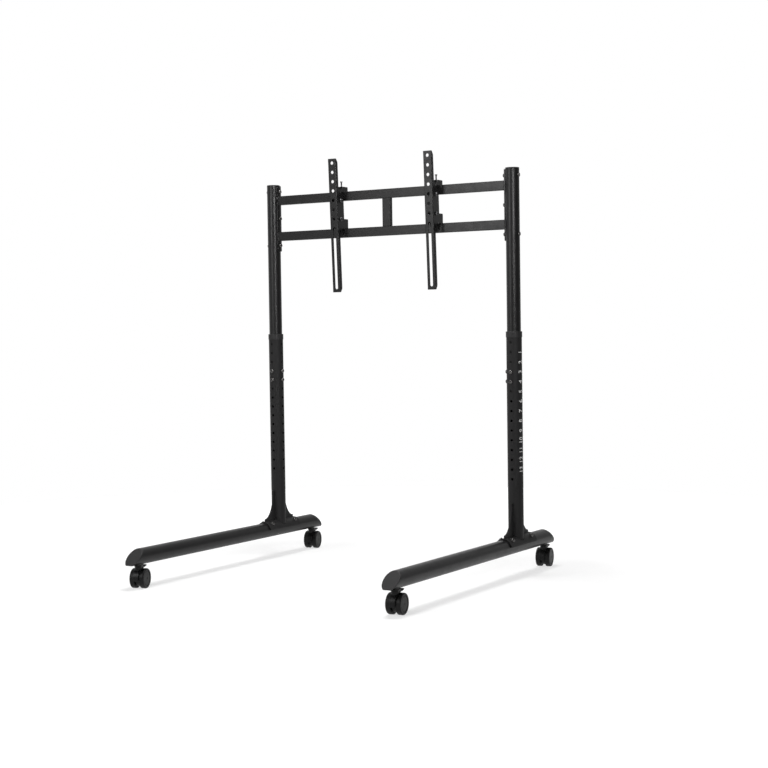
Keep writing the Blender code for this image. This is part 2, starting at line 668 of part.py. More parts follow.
def caster_housing(name, x, y):
    """Web between the wheels, hood over them, neck for the stem and cheeks for the pedal.

    The origin is on the swivel axis at the floor.
    """
    web_half = CASTER_WIDTH / 2 - WHEEL_WIDTH - GAP
    centre = (CASTER_TRAIL, WHEEL_RADIUS)
    web_loop = [(centre[0] + u, centre[1] + v) for u, v in ring_points(WEB_RADIUS, 24)]
    housing = side_on(outline([web_loop], -web_half, web_half))
    inner = WHEEL_RADIUS + FENDER_GAP
    outer = inner + FENDER_WALL
    hood = (arc_points(outer, FENDER_REAR_END, FENDER_FRONT_END, 14)
            + arc_points(inner, FENDER_FRONT_END, FENDER_REAR_END, 14))
    hood = [(centre[0] + u, centre[1] + v) for u, v in hood]
    add(housing, side_on(outline([hood], -FENDER_WIDTH / 2, FENDER_WIDTH / 2)))
    rib = [(centre[0] + u, centre[1] + v)
           for u, v in arc_points(inner + FENDER_WALL / 2, math.radians(90), math.radians(180), 8)]
    add(housing, side_on(outline([rib + [centre]], -web_half * RIB_SHARE, web_half * RIB_SHARE)))
    neck = cylinder(NECK_RADIUS, centre[1] + WEB_RADIUS * NECK_ROOT, NECK_TOP, 16)
    cheek_back = PEDAL_PIVOT_BACK + PEDAL_BARREL_RADIUS
    cheek_low = NECK_TOP - PEDAL_PIVOT_DROP - PEDAL_BARREL_RADIUS - CHEEK_MARGIN
    cheeks = box((-CHEEK_WIDTH / 2, 0, cheek_low), (CHEEK_WIDTH / 2, cheek_back, NECK_TOP - CHEEK_SET_DOWN))
    add(neck, cheeks)
    for sign in (-1, 1):
        room = clearing_cylinder(inner, *sorted((sign * web_half, sign * CASTER_WIDTH)))
        cut(neck, shifted(along_x(room), y=centre[0], z=centre[1]))
    add(housing, neck)
    pivot_z = NECK_TOP - PEDAL_PIVOT_DROP
    slot_half = PEDAL_BARREL_WIDTH / 2 + GAP
    slot_front = PEDAL_PIVOT_BACK - PEDAL_BARREL_RADIUS - GAP
    slot_low = pivot_z - PEDAL_BARREL_RADIUS - GAP
    cut(housing, box((-slot_half, slot_front, slot_low), (slot_half, THROUGH, THROUGH)))
    pin_end = CHEEK_WIDTH / 2 - CHEEK_MARGIN
    pin = along_x(cylinder(PEDAL_PIN_RADIUS, -pin_end, pin_end, SMALL_SIDES))
    add(housing, shifted(pin, y=PEDAL_PIVOT_BACK, z=pivot_z))
    axle_end = CASTER_WIDTH / 2 - AXLE_CAP_WALL - GAP
    axle = along_x(cylinder(AXLE_RADIUS, -axle_end, axle_end, SMALL_SIDES))
    add(housing, shifted(axle, y=centre[0], z=centre[1]))
    bore_end = NECK_TOP - STEM_PIN_LENGTH - GAP * 2
    cut(housing, hole(bore_radius(STEM_PIN_RADIUS), bore_end, THROUGH))
    return finish(housing, f"{name}_caster_housing", PLASTIC, (x, y, 0))


def caster_wheel(name, side, x, y):
    """One wheel, open to the web and closed outside. The origin is on its axle."""
    inner = CASTER_WIDTH / 2 - WHEEL_WIDTH
    outer = CASTER_WIDTH / 2
    bore = bore_radius(AXLE_RADIUS)
    tread = WHEEL_RADIUS / math.cos(math.pi / WHEEL_SIDES)
    profile = [(0, outer), (tread - WHEEL_CHAMFER, outer), (tread, outer - WHEEL_CHAMFER),
               (tread, inner), (bore, inner), (bore, outer - AXLE_CAP_WALL),
               (0, outer - AXLE_CAP_WALL)]
    wheel = along_x(turned(profile, WHEEL_SIDES))
    if side == "left":
        placed(wheel, Matrix.Rotation(math.pi, 4, "Z"))
    return finish(wheel, f"{name}_{side}_wheel", RUBBER, (x, y + CASTER_TRAIL, WHEEL_RADIUS))


def brake_pedal(name, x, y):
    """A foot pedal hinged in the housing's cheeks. The origin is on its pin."""
    barrel = along_x(cylinder(PEDAL_BARREL_RADIUS, -PEDAL_BARREL_WIDTH / 2, PEDAL_BARREL_WIDTH / 2, 12))
    tab_start = PEDAL_BARREL_RADIUS + GAP * 2
    half = PEDAL_THICKNESS / 2
    root = box((-PEDAL_BARREL_WIDTH / 2, 0, -half),
               (PEDAL_BARREL_WIDTH / 2, tab_start + 2 * PEDAL_OVERLAP, half))
    tab = box((-PEDAL_WIDTH / 2, tab_start + PEDAL_OVERLAP, -half), (PEDAL_WIDTH / 2, PEDAL_LENGTH, half))
    add(root, tab)
    add(barrel, placed(root, Matrix.Rotation(PEDAL_TILT, 4, "X")))
    cut(barrel, along_x(hole(bore_radius(PEDAL_PIN_RADIUS), -PEDAL_WIDTH, PEDAL_WIDTH)))
    return finish(barrel, f"{name}_brake_pedal", PLASTIC,
                  (x, y + PEDAL_PIVOT_BACK, NECK_TOP - PEDAL_PIVOT_DROP))


def caster(side, end, x, y):
    """A stem, and the pieces that swivel together about it, turned to where they rest."""
    name = f"{side}_{end}"
    caster_stem(name, x, y)
    pieces = [caster_housing(name, x, y), brake_pedal(name, x, y)]
    pieces += [caster_wheel(name, wheel_side, x, y) for wheel_side in ("left", "right")]
    swivel = SWIVELS[name]
    for piece in pieces:
        trail = piece.location.y - y
        piece.location.x = x - trail * math.sin(swivel)
        piece.location.y = y + trail * math.cos(swivel)
        piece.rotation_euler.z = swivel


def rail_side():
    """One side of the rail, from (y, z) measured from the tilt pivot."""
    face = PIVOT_FORWARD - RAIL_FACE
    top = RAIL_ABOVE_BAR + PIVOT_DROP
    bottom = top - RAIL_LENGTH
    ends = face + RAIL_END_DEPTH
    depth = face + RAIL_SIDE_DEPTH
    ear = PIVOT_FORWARD - EAR_BACK
    ear_top = EAR_TOP + PIVOT_DROP
    ear_low = EAR_BOTTOM + PIVOT_DROP
    return [(face, bottom), (ends, bottom), (depth, bottom + RAIL_TAPER), (depth, ear_low - EAR_RUN),
            (ear, ear_low), (ear, ear_top), (depth, ear_top + EAR_RUN), (depth, top - RAIL_TAPER),
            (ends, top), (face, top)]


def rail(side, x):
    """Bent channel with slotted face. The origin is on the tilt pivot."""
    half = RAIL_WIDTH / 2
    face = PIVOT_FORWARD - RAIL_FACE
    top = RAIL_ABOVE_BAR + PIVOT_DROP
    bottom = top - RAIL_LENGTH
    body = side_on(outline([rail_side()], -half, half))
    inside = half - RAIL_WALL
    cut(body, box((-inside, face + RAIL_WALL, bottom - PAST), (inside, THROUGH, top + PAST)))
    punches = []
    first = top - RAIL_FIRST_HOLE
    for k in range(RAIL_HOLE_COUNT):
        punches.append(shifted(along_y(hole(RAIL_HOLE_RADIUS, -PAST, PAST)),
                               y=face, z=first - k * RAIL_HOLE_PITCH))
    slot_top = first - (RAIL_HOLE_COUNT - 1) * RAIL_HOLE_PITCH - RAIL_SLOT_DROP
    upper = slot_top - RAIL_HOLE_RADIUS
    lower = slot_top - RAIL_SLOT_LENGTH + RAIL_HOLE_RADIUS
    slot = ([(u, v + upper) for u, v in arc_points(RAIL_HOLE_RADIUS, 0, math.pi, 6)]
            + [(u, v + lower) for u, v in arc_points(RAIL_HOLE_RADIUS, math.pi, 2 * math.pi, 6)])
    punches.append(shifted(along_y(outline([slot], -PAST, PAST)), y=face))
    punches.append(along_x(hole(bore_radius(BOLT_RADIUS), -THROUGH, THROUGH)))
    punches.append(side_on(outline([tilt_slot()], -THROUGH, THROUGH)))
    cut(body, *punches)
    finish(body, f"{side}_arm_rail", STEEL, (x, PIVOT.y, PIVOT.z), REST_TILT, smooth=False)


def tilt_slot():
    """The curved slot for the tilt bolt, in the rail's own upright frame."""
    radius = bore_radius(BOLT_RADIUS)
    start = -math.pi / 2
    end = start - TILT_TRAVEL
    far = arc_points(TILT_BOLT_DROP + radius, start, end, 6)
    near = arc_points(TILT_BOLT_DROP - radius, end, start, 6)
    middle_end = Vector(arc_points(TILT_BOLT_DROP, end, end, 1)[0])
    middle_start = Vector(arc_points(TILT_BOLT_DROP, start, start, 1)[0])
    cap_end = [tuple(middle_end + Vector(p)) for p in arc_points(radius, end, end - math.pi, 6)[1:-1]]
    cap_start = [tuple(middle_start + Vector(p)) for p in arc_points(radius, start + math.pi, start, 6)[1:-1]]
    return far + cap_end + near + cap_start


def hook_plate():
    """One side plate of the hook bracket, from (y, z) measured from the tilt pivot."""
    bar_top = PIVOT_DROP + BAR_HEIGHT / 2 + GAP
    low_top = bar_top - BAR_SPACING
    front = -PLATE_MARGIN
    bar_front = PIVOT_FORWARD - BAR_DEPTH / 2 - GAP
    bar_back = PIVOT_FORWARD + BAR_DEPTH / 2 + GAP
    back = PIVOT_FORWARD + HOOK_BACK
    top = bar_top + TOP_HOOK_RISE
    mid = low_top + LOWER_HOOK_RISE
    return [(front, PLATE_MARGIN), (front, -TILT_BOLT_DROP),
            (front + PLATE_CORNER, -TILT_BOLT_DROP - PLATE_MARGIN),
            (bar_front - LOWER_NOSE, low_top - HOOK_DROP), (bar_front, low_top - HOOK_DROP),
            (bar_front, low_top), (bar_back, low_top), (bar_back, low_top - HOOK_DROP),
            (back, low_top - HOOK_DROP + HOOK_CHAMFER),
            (back, mid), (bar_front, mid), (bar_front, bar_top), (bar_back, bar_top),
            (bar_back, bar_top - HOOK_DROP), (back, bar_top - HOOK_DROP + HOOK_CHAMFER),
            (back, top), (PIVOT_FORWARD - SHELF_FRONT, top)]


def hook_bracket(side, x):
    """Two plates joined by two shelves, hooked over both bars. The origin is on the pivot."""
    bracket = side_on(outline([hook_plate()], -PLATE_OUTER, PLATE_OUTER))
    inside = PLATE_OUTER - PLATE_WALL
    bar_top = PIVOT_DROP + BAR_HEIGHT / 2 + GAP
    shelf_low = bar_top + TOP_HOOK_RISE - PLATE_WALL
    lower_shelf = bar_top - BAR_SPACING + LOWER_HOOK_RISE
    cut(bracket, box((-inside, -THROUGH, lower_shelf), (inside, THROUGH, shelf_low)))
    cut(bracket, box((-inside, -THROUGH, -2 * THROUGH), (inside, THROUGH, lower_shelf - PLATE_WALL)))
    cut(bracket, box((-inside, -THROUGH, lower_shelf - PAST),
                     (inside, PIVOT_FORWARD - BAR_DEPTH / 2 - GAP, lower_shelf + PAST)))
    for z in (0, -TILT_BOLT_DROP):
        cut(bracket, shifted(along_x(hole(hole_radius(BOLT_RADIUS), -THROUGH, THROUGH)), z=z))
    lock_hole = hole(hole_radius(LOCK_RADIUS), shelf_low - PAST / 2, shelf_low + PAST)
    cut(bracket, shifted(lock_hole, y=PIVOT_FORWARD))
    finish(bracket, f"{side}_hook_bracket", STEEL, (x, PIVOT.y, PIVOT.z), smooth=False)


def arm_bolt(side, name, x, drop):
    """A bolt through rail and bracket, head on the stand's right side."""
    head_face = RAIL_WIDTH / 2 + GAP
    piece = shifted(along_x(bolt(2 * head_face)), x=head_face)
    finish(piece, f"{side}_{name}_bolt", ZINC, (x, PIVOT.y, PIVOT.z - drop))


def lock_screw(side, x):
    """The screw that clamps the bracket to the top bar. The origin is at its tip."""
    tip = BAR_HEIGHT / 2 + GAP
    shelf_top = tip + TOP_HOOK_RISE
    head_top = shelf_top + LOCK_HEAD_RISE - tip
    head_base = head_top - LOCK_HEAD_HEIGHT
    profile = [(0, head_top), (LOCK_HEAD_RADIUS, head_top), (LOCK_HEAD_RADIUS, head_base),
               (LOCK_RADIUS, head_base), (LOCK_RADIUS, 0), (0, 0)]
    finish(turned(profile), f"{side}_lock_screw", ZINC, (x, POST_Y, TOP_BAR_Z + tip))


for side_name, sign in (("left", -1), ("right", 1)):
    post_x = sign * POST_X
    leg_tube(side_name, post_x)
    lower_post(side_name, post_x, -sign)
    collar(side_name, post_x)
    saddle_bolts(side_name, post_x)
    upper_post(side_name, post_x, -sign)
    post_cap(side_name, post_x)
    crossbar_bolts(side_name, post_x, -sign)
    height_bolts(side_name, post_x, -sign)
    for end_name, stem_y in STEM_YS.items():
        leg_cap(side_name, end_name, post_x)
        caster(side_name, end_name, post_x, stem_y)
crossbar_frame()
crossbar_strut()
for side_name, arm_x in ARM_POSITIONS.items():
    rail(side_name, arm_x)
    hook_bracket(side_name, arm_x)
    arm_bolt(side_name, "pivot", arm_x, 0)
    arm_bolt(side_name, "tilt", arm_x, TILT_BOLT_DROP)
    lock_screw(side_name, arm_x)
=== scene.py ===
from math import asin, cos, pi, radians, sin, sqrt

import bmesh
import bpy
from mathutils import Matrix, Vector


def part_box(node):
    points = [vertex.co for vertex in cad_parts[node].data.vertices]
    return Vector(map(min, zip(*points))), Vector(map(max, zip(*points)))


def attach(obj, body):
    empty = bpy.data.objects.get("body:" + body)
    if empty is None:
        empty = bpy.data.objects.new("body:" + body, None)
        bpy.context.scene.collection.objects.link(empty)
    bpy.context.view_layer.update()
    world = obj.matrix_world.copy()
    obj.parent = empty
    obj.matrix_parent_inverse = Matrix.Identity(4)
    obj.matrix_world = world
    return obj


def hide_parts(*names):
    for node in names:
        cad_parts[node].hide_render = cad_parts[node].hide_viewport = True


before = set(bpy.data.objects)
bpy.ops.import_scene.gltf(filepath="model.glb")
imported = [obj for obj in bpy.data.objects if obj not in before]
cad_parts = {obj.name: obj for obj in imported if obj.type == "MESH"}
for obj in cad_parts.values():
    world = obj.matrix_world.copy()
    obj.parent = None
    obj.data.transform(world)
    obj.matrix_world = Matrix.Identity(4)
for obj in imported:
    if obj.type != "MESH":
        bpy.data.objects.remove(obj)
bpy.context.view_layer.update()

# Clearance, widths of edges, and the small flat in the middle of a round end
GAP = 0.0003
TINY_EDGE = 0.0002
SMALL_EDGE = 0.0004
THIN_EDGE = 0.0005
EDGE = 0.0006
SOFT_EDGE = 0.0008
BENT_EDGE = 0.0009
SHELF_EDGE = 0.0011
ROUND_EDGE = 0.0014
CENTRE = 0.0005

# Posts and legs
POST_X = sum(c.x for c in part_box("right_upper_post")) / 2
POST_Y = sum(c.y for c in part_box("right_upper_post")) / 2
POST_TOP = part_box("right_upper_post")[1].z
POST_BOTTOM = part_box("right_upper_post")[0].z
FRONT_TIP_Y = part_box("right_front_leg_cap")[0].y
REAR_TIP_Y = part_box("right_rear_leg_cap")[1].y
LEG_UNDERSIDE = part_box("right_leg_tube")[0].z
LEG_RADIUS = 0.025
LEG_AXIS_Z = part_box("right_leg_tube")[1].z - LEG_RADIUS
LEG_FLAT = LEG_AXIS_Z - LEG_UNDERSIDE
LEG_WALL = 0.002
LEG_EDGE = 0.003
CAP_FLANGE = 0.004
CAP_EDGE = 0.0012
CAP_PLUG_DEPTH = 0.010
CAP_PLUG_WALL = 0.002

# Lower posts
SLEEVE_RADIUS = 0.024
SLEEVE_WALL = 0.002
SLEEVE_BORE = SLEEVE_RADIUS - SLEEVE_WALL
COLLAR_RADIUS = 0.0252
COLLAR_LIP = 0.004
SLEEVE_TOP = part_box("right_sleeve_collar")[1].z - COLLAR_LIP
COLLAR_SKIRT = 0.014
SADDLE_INNER = LEG_RADIUS + GAP
SADDLE_WALL = 0.004
SADDLE_OUTER = SADDLE_INNER + SADDLE_WALL
SADDLE_LENGTH = 0.175
SADDLE_WRAP = radians(85)
SADDLE_CORNER = 0.008
GUSSET_HALF = 0.002
GUSSET_HEIGHT = 0.100
GUSSET_REACH = 0.080
GUSSET_LIP = 0.008
BOSS_RADIUS = 0.0075
BOSS_FACE = SADDLE_OUTER + GAP
SADDLE_BOLT_Y = 0.064
SADDLE_BOLT_ANGLE = radians(48)
LEG_PLATE_RADIUS = 0.0223
HOLE_COUNT = 15
HOLE_PITCH = 0.030
FIRST_HOLE_Z = SLEEVE_TOP - HOLE_PITCH
HEIGHT_BOLT_ZS = [FIRST_HOLE_Z - HOLE_PITCH * k for k in (3, 4)]

# Upper frame
UPPER_RADIUS = 0.0215
UPPER_WALL = 0.002
UPPER_BORE = UPPER_RADIUS - UPPER_WALL
SEAT_RADIUS = UPPER_BORE * 0.98
POST_CAP_HEIGHT = 0.003
POST_CAP_PLUG = 0.012
POST_CAP_ROUND = 0.0028
BAR_HEIGHT = 0.030
BAR_DEPTH = 0.015
BAR_CORNER = 0.0022
TOP_BAR_Z = POST_TOP - 0.050
BAR_SPACING = 0.120
STRUT_WIDTH = 0.030
BRACKET_INNER = UPPER_RADIUS + GAP
BRACKET_WALL = 0.004
BRACKET_OUTER = BRACKET_INNER + BRACKET_WALL
BRACKET_HEIGHT = 0.220
BRACKET_WRAP = radians(28)
BRACKET_CORNER = 0.006
BOLT_DROPS = {"top": 0.020, "middle": 0.110, "bottom": 0.200}

# Fasteners
BOLT_RADIUS = 0.004
HEAD_RADIUS = 0.0065
HEAD_HEIGHT = 0.0045
HEAD_CROWN = 0.62 * HEAD_RADIUS
HEAD_RIM = 0.0008
HEAD_UNDERCUT = 0.0003
SOCKET_ACROSS = 0.0050
SOCKET_DEPTH = 0.0026
NUT_RADIUS = 0.0072
NUT_HEIGHT = 0.006
BARREL_NUT_HEIGHT = 0.0022
BARREL_NUT_ROUND = 0.0018
NUT_PLATE_HALF = 0.005
NUT_PLATE_WALL = 0.004
NUT_PLATE_MARGIN = 0.010
NUT_PLATE_CORNER = 0.002

# Casters, each measured from its own swivel axis at the floor, and how far each has swivelled
SWIVELS = {"left_front": radians(17), "left_rear": radians(13),
           "right_front": radians(7), "right_rear": radians(10)}
WHEEL_RADIUS = 0.030
WHEEL_WIDTH = 0.0155
CASTER_WIDTH = 0.046
CASTER_TRAIL = 0.0125
WHEEL_ROUND = 0.0034
BACK_ROUND = 0.0015
WHEEL_HUB = 0.0040
WHEEL_DISH = 0.0205
WHEEL_DISH_DEPTH = 0.0009
WHEEL_EYE_DEPTH = 0.0007
WHEEL_GROOVE = (0.0214, 0.0224)
WHEEL_GROOVE_DEPTH = 0.0019
WHEEL_FACE = 0.0250
WHEEL_BACK_DISH = (0.0088, 0.0262)
WHEEL_BACK_DEPTH = 0.0022
AXLE_RADIUS = 0.004
AXLE_CAP_WALL = 0.0024
FENDER_GAP = 0.0012
FENDER_WALL = 0.003
FENDER_TIP_ROUND = 0.004
FENDER_ROOT_ROUND = 0.001
FENDER_EVEN_SHARE = 0.25
FENDER_TOP_WIDTH = 0.022
FENDER_LOW_WIDTH = 0.015
FENDER_FRONT_END = radians(190)
FENDER_REAR_END = radians(84)
WEB_RADIUS = 0.024
WEB_EDGE = 0.002
NECK_RADIUS = 0.0115
NECK_TOP = LEG_UNDERSIDE - 0.003
NECK_BOTTOM = WHEEL_RADIUS + WEB_RADIUS * 0.8
NECK_STEP = 0.001
NECK_CAP_HEIGHT = 0.0044
PEDAL_BACK = 0.0175
PEDAL_Z = NECK_TOP - 0.0085
PEDAL_BARREL = 0.0033
PEDAL_ROOT = 0.005
PEDAL_LENGTH = 0.0225
PEDAL_WIDTH = 0.022
PEDAL_HALF = 0.0015
PEDAL_TILT = radians(12)
PEDAL_PIN = 0.0015
PEDAL_MARGIN = 0.001
PEDAL_CORNER = 0.005
CHEEK_WIDTH = 0.019
RIB_COUNT = 4
RIB_PITCH = 0.0033
RIB_START = 0.0045
RIB_INSET = 0.0035
RIB_LAST_INSET = 0.0047
RIB_WIDTH = 0.0012
RIB_DEPTH = 0.0009

# Caster stems, measured from the leg's underside
STEM_RADIUS = 0.005
STEM_TOP = 0.012
STEM_CHAMFER = 0.0007
STEM_NUT_RADIUS = 0.0085
STEM_NUT = (0.0023, 0.0083)
STEM_SHOULDER = (-0.0027, -0.0003)
STEM_PIN_RADIUS = 0.004
STEM_BOTTOM = -0.021

# Arms, measured from the tilt pivot
RAIL_WIDTH = 0.030
RAIL_WALL = 0.0025
RAIL_LENGTH = 0.433
RAIL_TOP = 0.136
RAIL_FACE = -0.022
RAIL_SIDE_DEPTH = 0.012
RAIL_END_DEPTH = 0.004
RAIL_TAPER = 0.012
RAIL_BEND = 0.0026
RAIL_TAPER_ROUND = 0.004
RAIL_EAR_ROUND = 0.006
HOLE_RADIUS = 0.00525
RAIL_HOLE_COUNT = 7
RAIL_FIRST_HOLE = RAIL_TOP - 0.014
RAIL_SLOT_DROP = 0.027
RAIL_SLOT_LENGTH = 0.202
EAR_DEPTH = 0.039
EAR_TOP = 0.013
EAR_BOTTOM = -0.079
EAR_RUN = 0.018
REST_TILT = radians(2.5)
TILT_TRAVEL = radians(10)
TILT_BOLT_DROP = 0.060
PIVOT_FORWARD = 0.028
PIVOT_DROP = 0.016
PIVOT_Y = POST_Y - PIVOT_FORWARD
PIVOT_Z = TOP_BAR_Z - PIVOT_DROP
PLATE_WALL = 0.0025
PLATE_OUTER = RAIL_WIDTH / 2 - RAIL_WALL - GAP
PLATE_MARGIN = 0.008
HOOK_DROP = 0.020
HOOK_SLANT = 0.004
HOOK_NOSE = 0.006
SHELF_FRONT = PIVOT_FORWARD - 0.012
SHELF_PROUD = 0.0012
BAR_TOP = PIVOT_DROP + BAR_HEIGHT / 2 + GAP
BAR_FRONT = PIVOT_FORWARD - BAR_DEPTH / 2 - GAP
HOOK_REAR = PIVOT_FORWARD + 0.019
TOP_SHELF = BAR_TOP + 0.016
LOWER_SHELF = BAR_TOP - BAR_SPACING + 0.031

# Lock screws
LOCK_RADIUS = 0.0025
LOCK_ROOT_RADIUS = 0.0021
LOCK_TIP_RADIUS = 0.00175
LOCK_HEAD_RADIUS = 0.0042
LOCK_HEAD_HEIGHT = 0.003
LOCK_SOCKET = 0.003
LOCK_SOCKET_DEPTH = 0.0018
LOCK_THREAD = 0.0009

# Welds
WELD_RADIUS = 0.0012
FOOT_WELD_RADIUS = 0.0020
WELD_RIPPLE = 0.0022
WELD_SWELL = 0.12
WELD_TOP_STOP = 0.004
WELD_TIP_STOP = 0.003

# Height scale on the sleeves
PAINT = 0.0001
SCALE_STEPS = 13
SCALE_TICKS = 3
SCALE_TEXT = 0.021
SCALE_NUMBER_X = -0.0045
SCALE_TICK_X = 0.0045
SCALE_LONG = 0.008
SCALE_SHORT = 0.005
SCALE_LINE = 0.0012
WRAP_STEP = 0.0012
WRAP_STEPS = 11

# Floor and light: lamp name, place, aim, size, power, spread
FLOOR_RADIUS = 2.6
FLOOR_COLOUR = (0.36, 0.36, 0.36)
FLOOR_GLOW = 0.65
FLOOR_NEAR = 0.80
FLOOR_FAR = 1.70
SKY_LEVEL = 0.20
BACKDROP_SIDE = (-0.90, 0.44, 0.0)
STUDIO_DIM = 0.06
LAMPS = (
    ("overhead", (0.0, 0.0, 3.2), (0.0, 0.0, 0.5), (0.8, 0.8), 80, 180),
    ("key_softbox", (2.87, -2.73, 2.0), (0.0, 0.1, 1.35), (0.9, 1.2), 10, 50),
    ("left_softbox", (-0.95, -2.6, 1.6), (0.2, 0.2, 1.1), (0.8, 1.2), 28, 180),
)

# Camera, solved from measured points of the picture
IMAGE_SIZE = 768
SENSOR = 36.0
FOCAL_PIXELS = 1503.2
CAMERA_PLACE = (2.5401, -3.8739, 0.7754)
CAMERA_AZIMUTH = radians(31.76)
CAMERA_DROP = radians(2.20)
CAMERA_ROLL = radians(-0.82)

# Finishes: features per metre of the wandering colour and gloss, and the noise's middle range
COLOUR_SCALE = 14
GLOSS_SCALE = 35
NOISE_MIDDLE = (0.3, 0.7)

# Facets
ROUND = 64
SMALL_ROUND = 48
DRILL_ROUND = 32
PIN_ROUND = 24
WIDE_ROUND = 96
BEAD_SIDES = 8
LEG_FACETS = 56
BEND_STEP = 0.003
FILLET_STEPS = 3
BEVEL_ANGLE = radians(40)
SHARP_ANGLE = radians(35)


# Shapes

def linked(name, data):
    """A new object in the scene."""
    obj = bpy.data.objects.new(name, data)
    bpy.context.scene.collection.objects.link(obj)
    return obj


def from_shape(shape):
    """An object from a bmesh, its faces turned outward."""
    bmesh.ops.recalc_face_normals(shape, faces=shape.faces)
    mesh = bpy.data.meshes.new("shape")
    shape.to_mesh(mesh)
    shape.free()
    return linked("shape", mesh)


def final_mesh(obj):
    """A mesh of obj as its modifiers or its letters make it."""
    bpy.context.view_layer.update()
    return bpy.data.meshes.new_from_object(obj.evaluated_get(bpy.context.evaluated_depsgraph_get()))


def applied(obj):
    """The object with its modifiers made final."""
    mesh = final_mesh(obj)
    obj.modifiers.clear()
    obj.data = mesh
    return obj


def placed(obj, matrix):
    obj.data.transform(matrix)
    return obj


def shifted(obj, x=0.0, y=0.0, z=0.0):
    return placed(obj, Matrix.Translation((x, y, z)))


def turned(obj, angle):
    """Turns a shape about Z."""
    return placed(obj, Matrix.Rotation(angle, 4, "Z"))


def along_x(obj):
    """Turns a shape made along Z to lie along X."""
    return placed(obj, Matrix.Rotation(pi / 2, 4, "Y"))


def along_y(obj):
    """Turns a shape made along Z to lie along -Y, its drawing y up."""
    return placed(obj, Matrix.Rotation(pi / 2, 4, "X"))


def leaned(obj, angle):
    """Turns a shape made along Z to lie in the XZ plane, at that angle above +X."""
    return placed(along_x(obj), Matrix.Rotation(-angle, 4, "Y"))


def along_leg(obj):
    """Turns a plate bent about Z to lie along Y, its middle up."""
    return placed(obj, Matrix.Rotation(pi / 2, 4, "X") @ Matrix.Rotation(pi / 2, 4, "Z"))


def side_on(obj):
    """Turns a shape drawn in XY so that drawing x is world Y, drawing y is up and Z is X."""
    return placed(obj, Matrix(((0, 0, 1, 0), (1, 0, 0, 0), (0, 1, 0, 0), (0, 0, 0, 1))))


def joined(*parts):
    """One object from several, each of which stays a closed shell."""
    shape = bmesh.new()
    for part in parts:
        shape.from_mesh(part.data)
        bpy.data.objects.remove(part, do_unlink=True)
    return from_shape(shape)


def cut(obj, *tools):
    """obj without the tools, which don't touch each other."""
    tool = joined(*tools)
    step = obj.modifiers.new("cut", "BOOLEAN")
    step.operation = "DIFFERENCE"
    step.object = tool
    applied(obj)
    bpy.data.objects.remove(tool, do_unlink=True)
    return obj


def fillet(points, radius, closed=True, steps=FILLET_STEPS):
    """The outline with its corners rounded. radius is one number, or one for each corner."""
    rounded = []
    count = len(points)
    for k, point in enumerate(points):
        reach = radius[k] if isinstance(radius, (list, tuple)) else radius
        corner = Vector(point)
        if reach == 0 or (not closed and k in (0, count - 1)):
            rounded.append(corner)
            continue
        before = Vector(points[k - 1]) - corner
        after = Vector(points[(k + 1) % count]) - corner
        reach = min(reach, before.length * 0.48, after.length * 0.48)
        start = corner + before.normalized() * reach
        end = corner + after.normalized() * reach
        for step in range(steps + 1):
            t = step / steps
            rounded.append(start * (1 - t) ** 2 + corner * 2 * t * (1 - t) + end * t ** 2)
    return rounded


def arc(radius, start, end, steps, centre=(0, 0)):
    angles = [start + (end - start) * k / steps for k in range(steps + 1)]
    return [(centre[0] + radius * cos(a), centre[1] + radius * sin(a)) for a in angles]


def quarter(steps):
    """Angles from 0 to 90 degrees."""
    return [pi / 2 * k / steps for k in range(steps + 1)]


def rectangle(x0, y0, x1, y1):
    return [(x0, y0), (x1, y0), (x1, y1), (x0, y1)]


def loft(rings, closed=False):
    """A skin over rings with equal numbers of points, with flat ends or joined last to first."""
    shape = bmesh.new()
    rows = [[shape.verts.new(point) for point in points] for points in rings]
    pairs = list(zip(rows, rows[1:]))
    if closed:
        pairs.append((rows[-1], rows[0]))
    for near, far in pairs:
        for k in range(len(near)):
            m = (k + 1) % len(near)
            shape.faces.new((near[k], near[m], far[m], far[k]))
    if not closed:
        shape.faces.new(rows[0][::-1])
        shape.faces.new(rows[-1])
    return from_shape(shape)


def circle(radius, z, sides=ROUND):
    return [(radius * cos(a), radius * sin(a), z)
            for a in (2 * pi * k / sides for k in range(sides))]


def ring(radius, z):
    """The circle of a small piece."""
    return circle(radius, z, SMALL_ROUND)


def hexagon(across, z):
    """Points on a hexagon, as many as a ring has."""
    angles = [2 * pi * k / SMALL_ROUND for k in range(SMALL_ROUND)]
    radii = [across / 2 / cos(a % (pi / 3) - pi / 6) for a in angles]
    return [(r * cos(a), r * sin(a), z) for r, a in zip(radii, angles)]


def lathe(profile, sides=ROUND, closed=False):
    """A solid of revolution about Z through (radius, z) points. An open profile gets flat ends."""
    return loft([circle(radius, z, sides) for radius, z in profile], closed)


def rod(radius, low, high, sides=SMALL_ROUND, edge=0.0):
    """A cylinder that lies along X, its ends chamfered if it has an edge."""
    profile = [(radius, low + edge), (radius, high - edge)]
    if edge:
        profile = [(radius - edge, low)] + profile + [(radius - edge, high)]
    return along_x(lathe(profile, sides))


def prism(outline, low, high):
    """An outline drawn in XY, extruded from z = low to high."""
    return loft([[(x, y, z) for x, y in outline] for z in (low, high)])


def softened(obj, width, segments=2):
    """Rounds the sharp edges of a shape."""
    step = obj.modifiers.new("edges", "BEVEL")
    step.width = width
    step.segments = segments
    step.limit_method = "ANGLE"
    step.angle_limit = BEVEL_ANGLE
    return applied(obj)


def block(low, high, edge, segments=2):
    """A box between two corners, with rounded edges."""
    (x0, y0, z0), (x1, y1, z1) = low, high
    return softened(prism(rectangle(x0, y0, x1, y1), z0, z1), edge, segments)


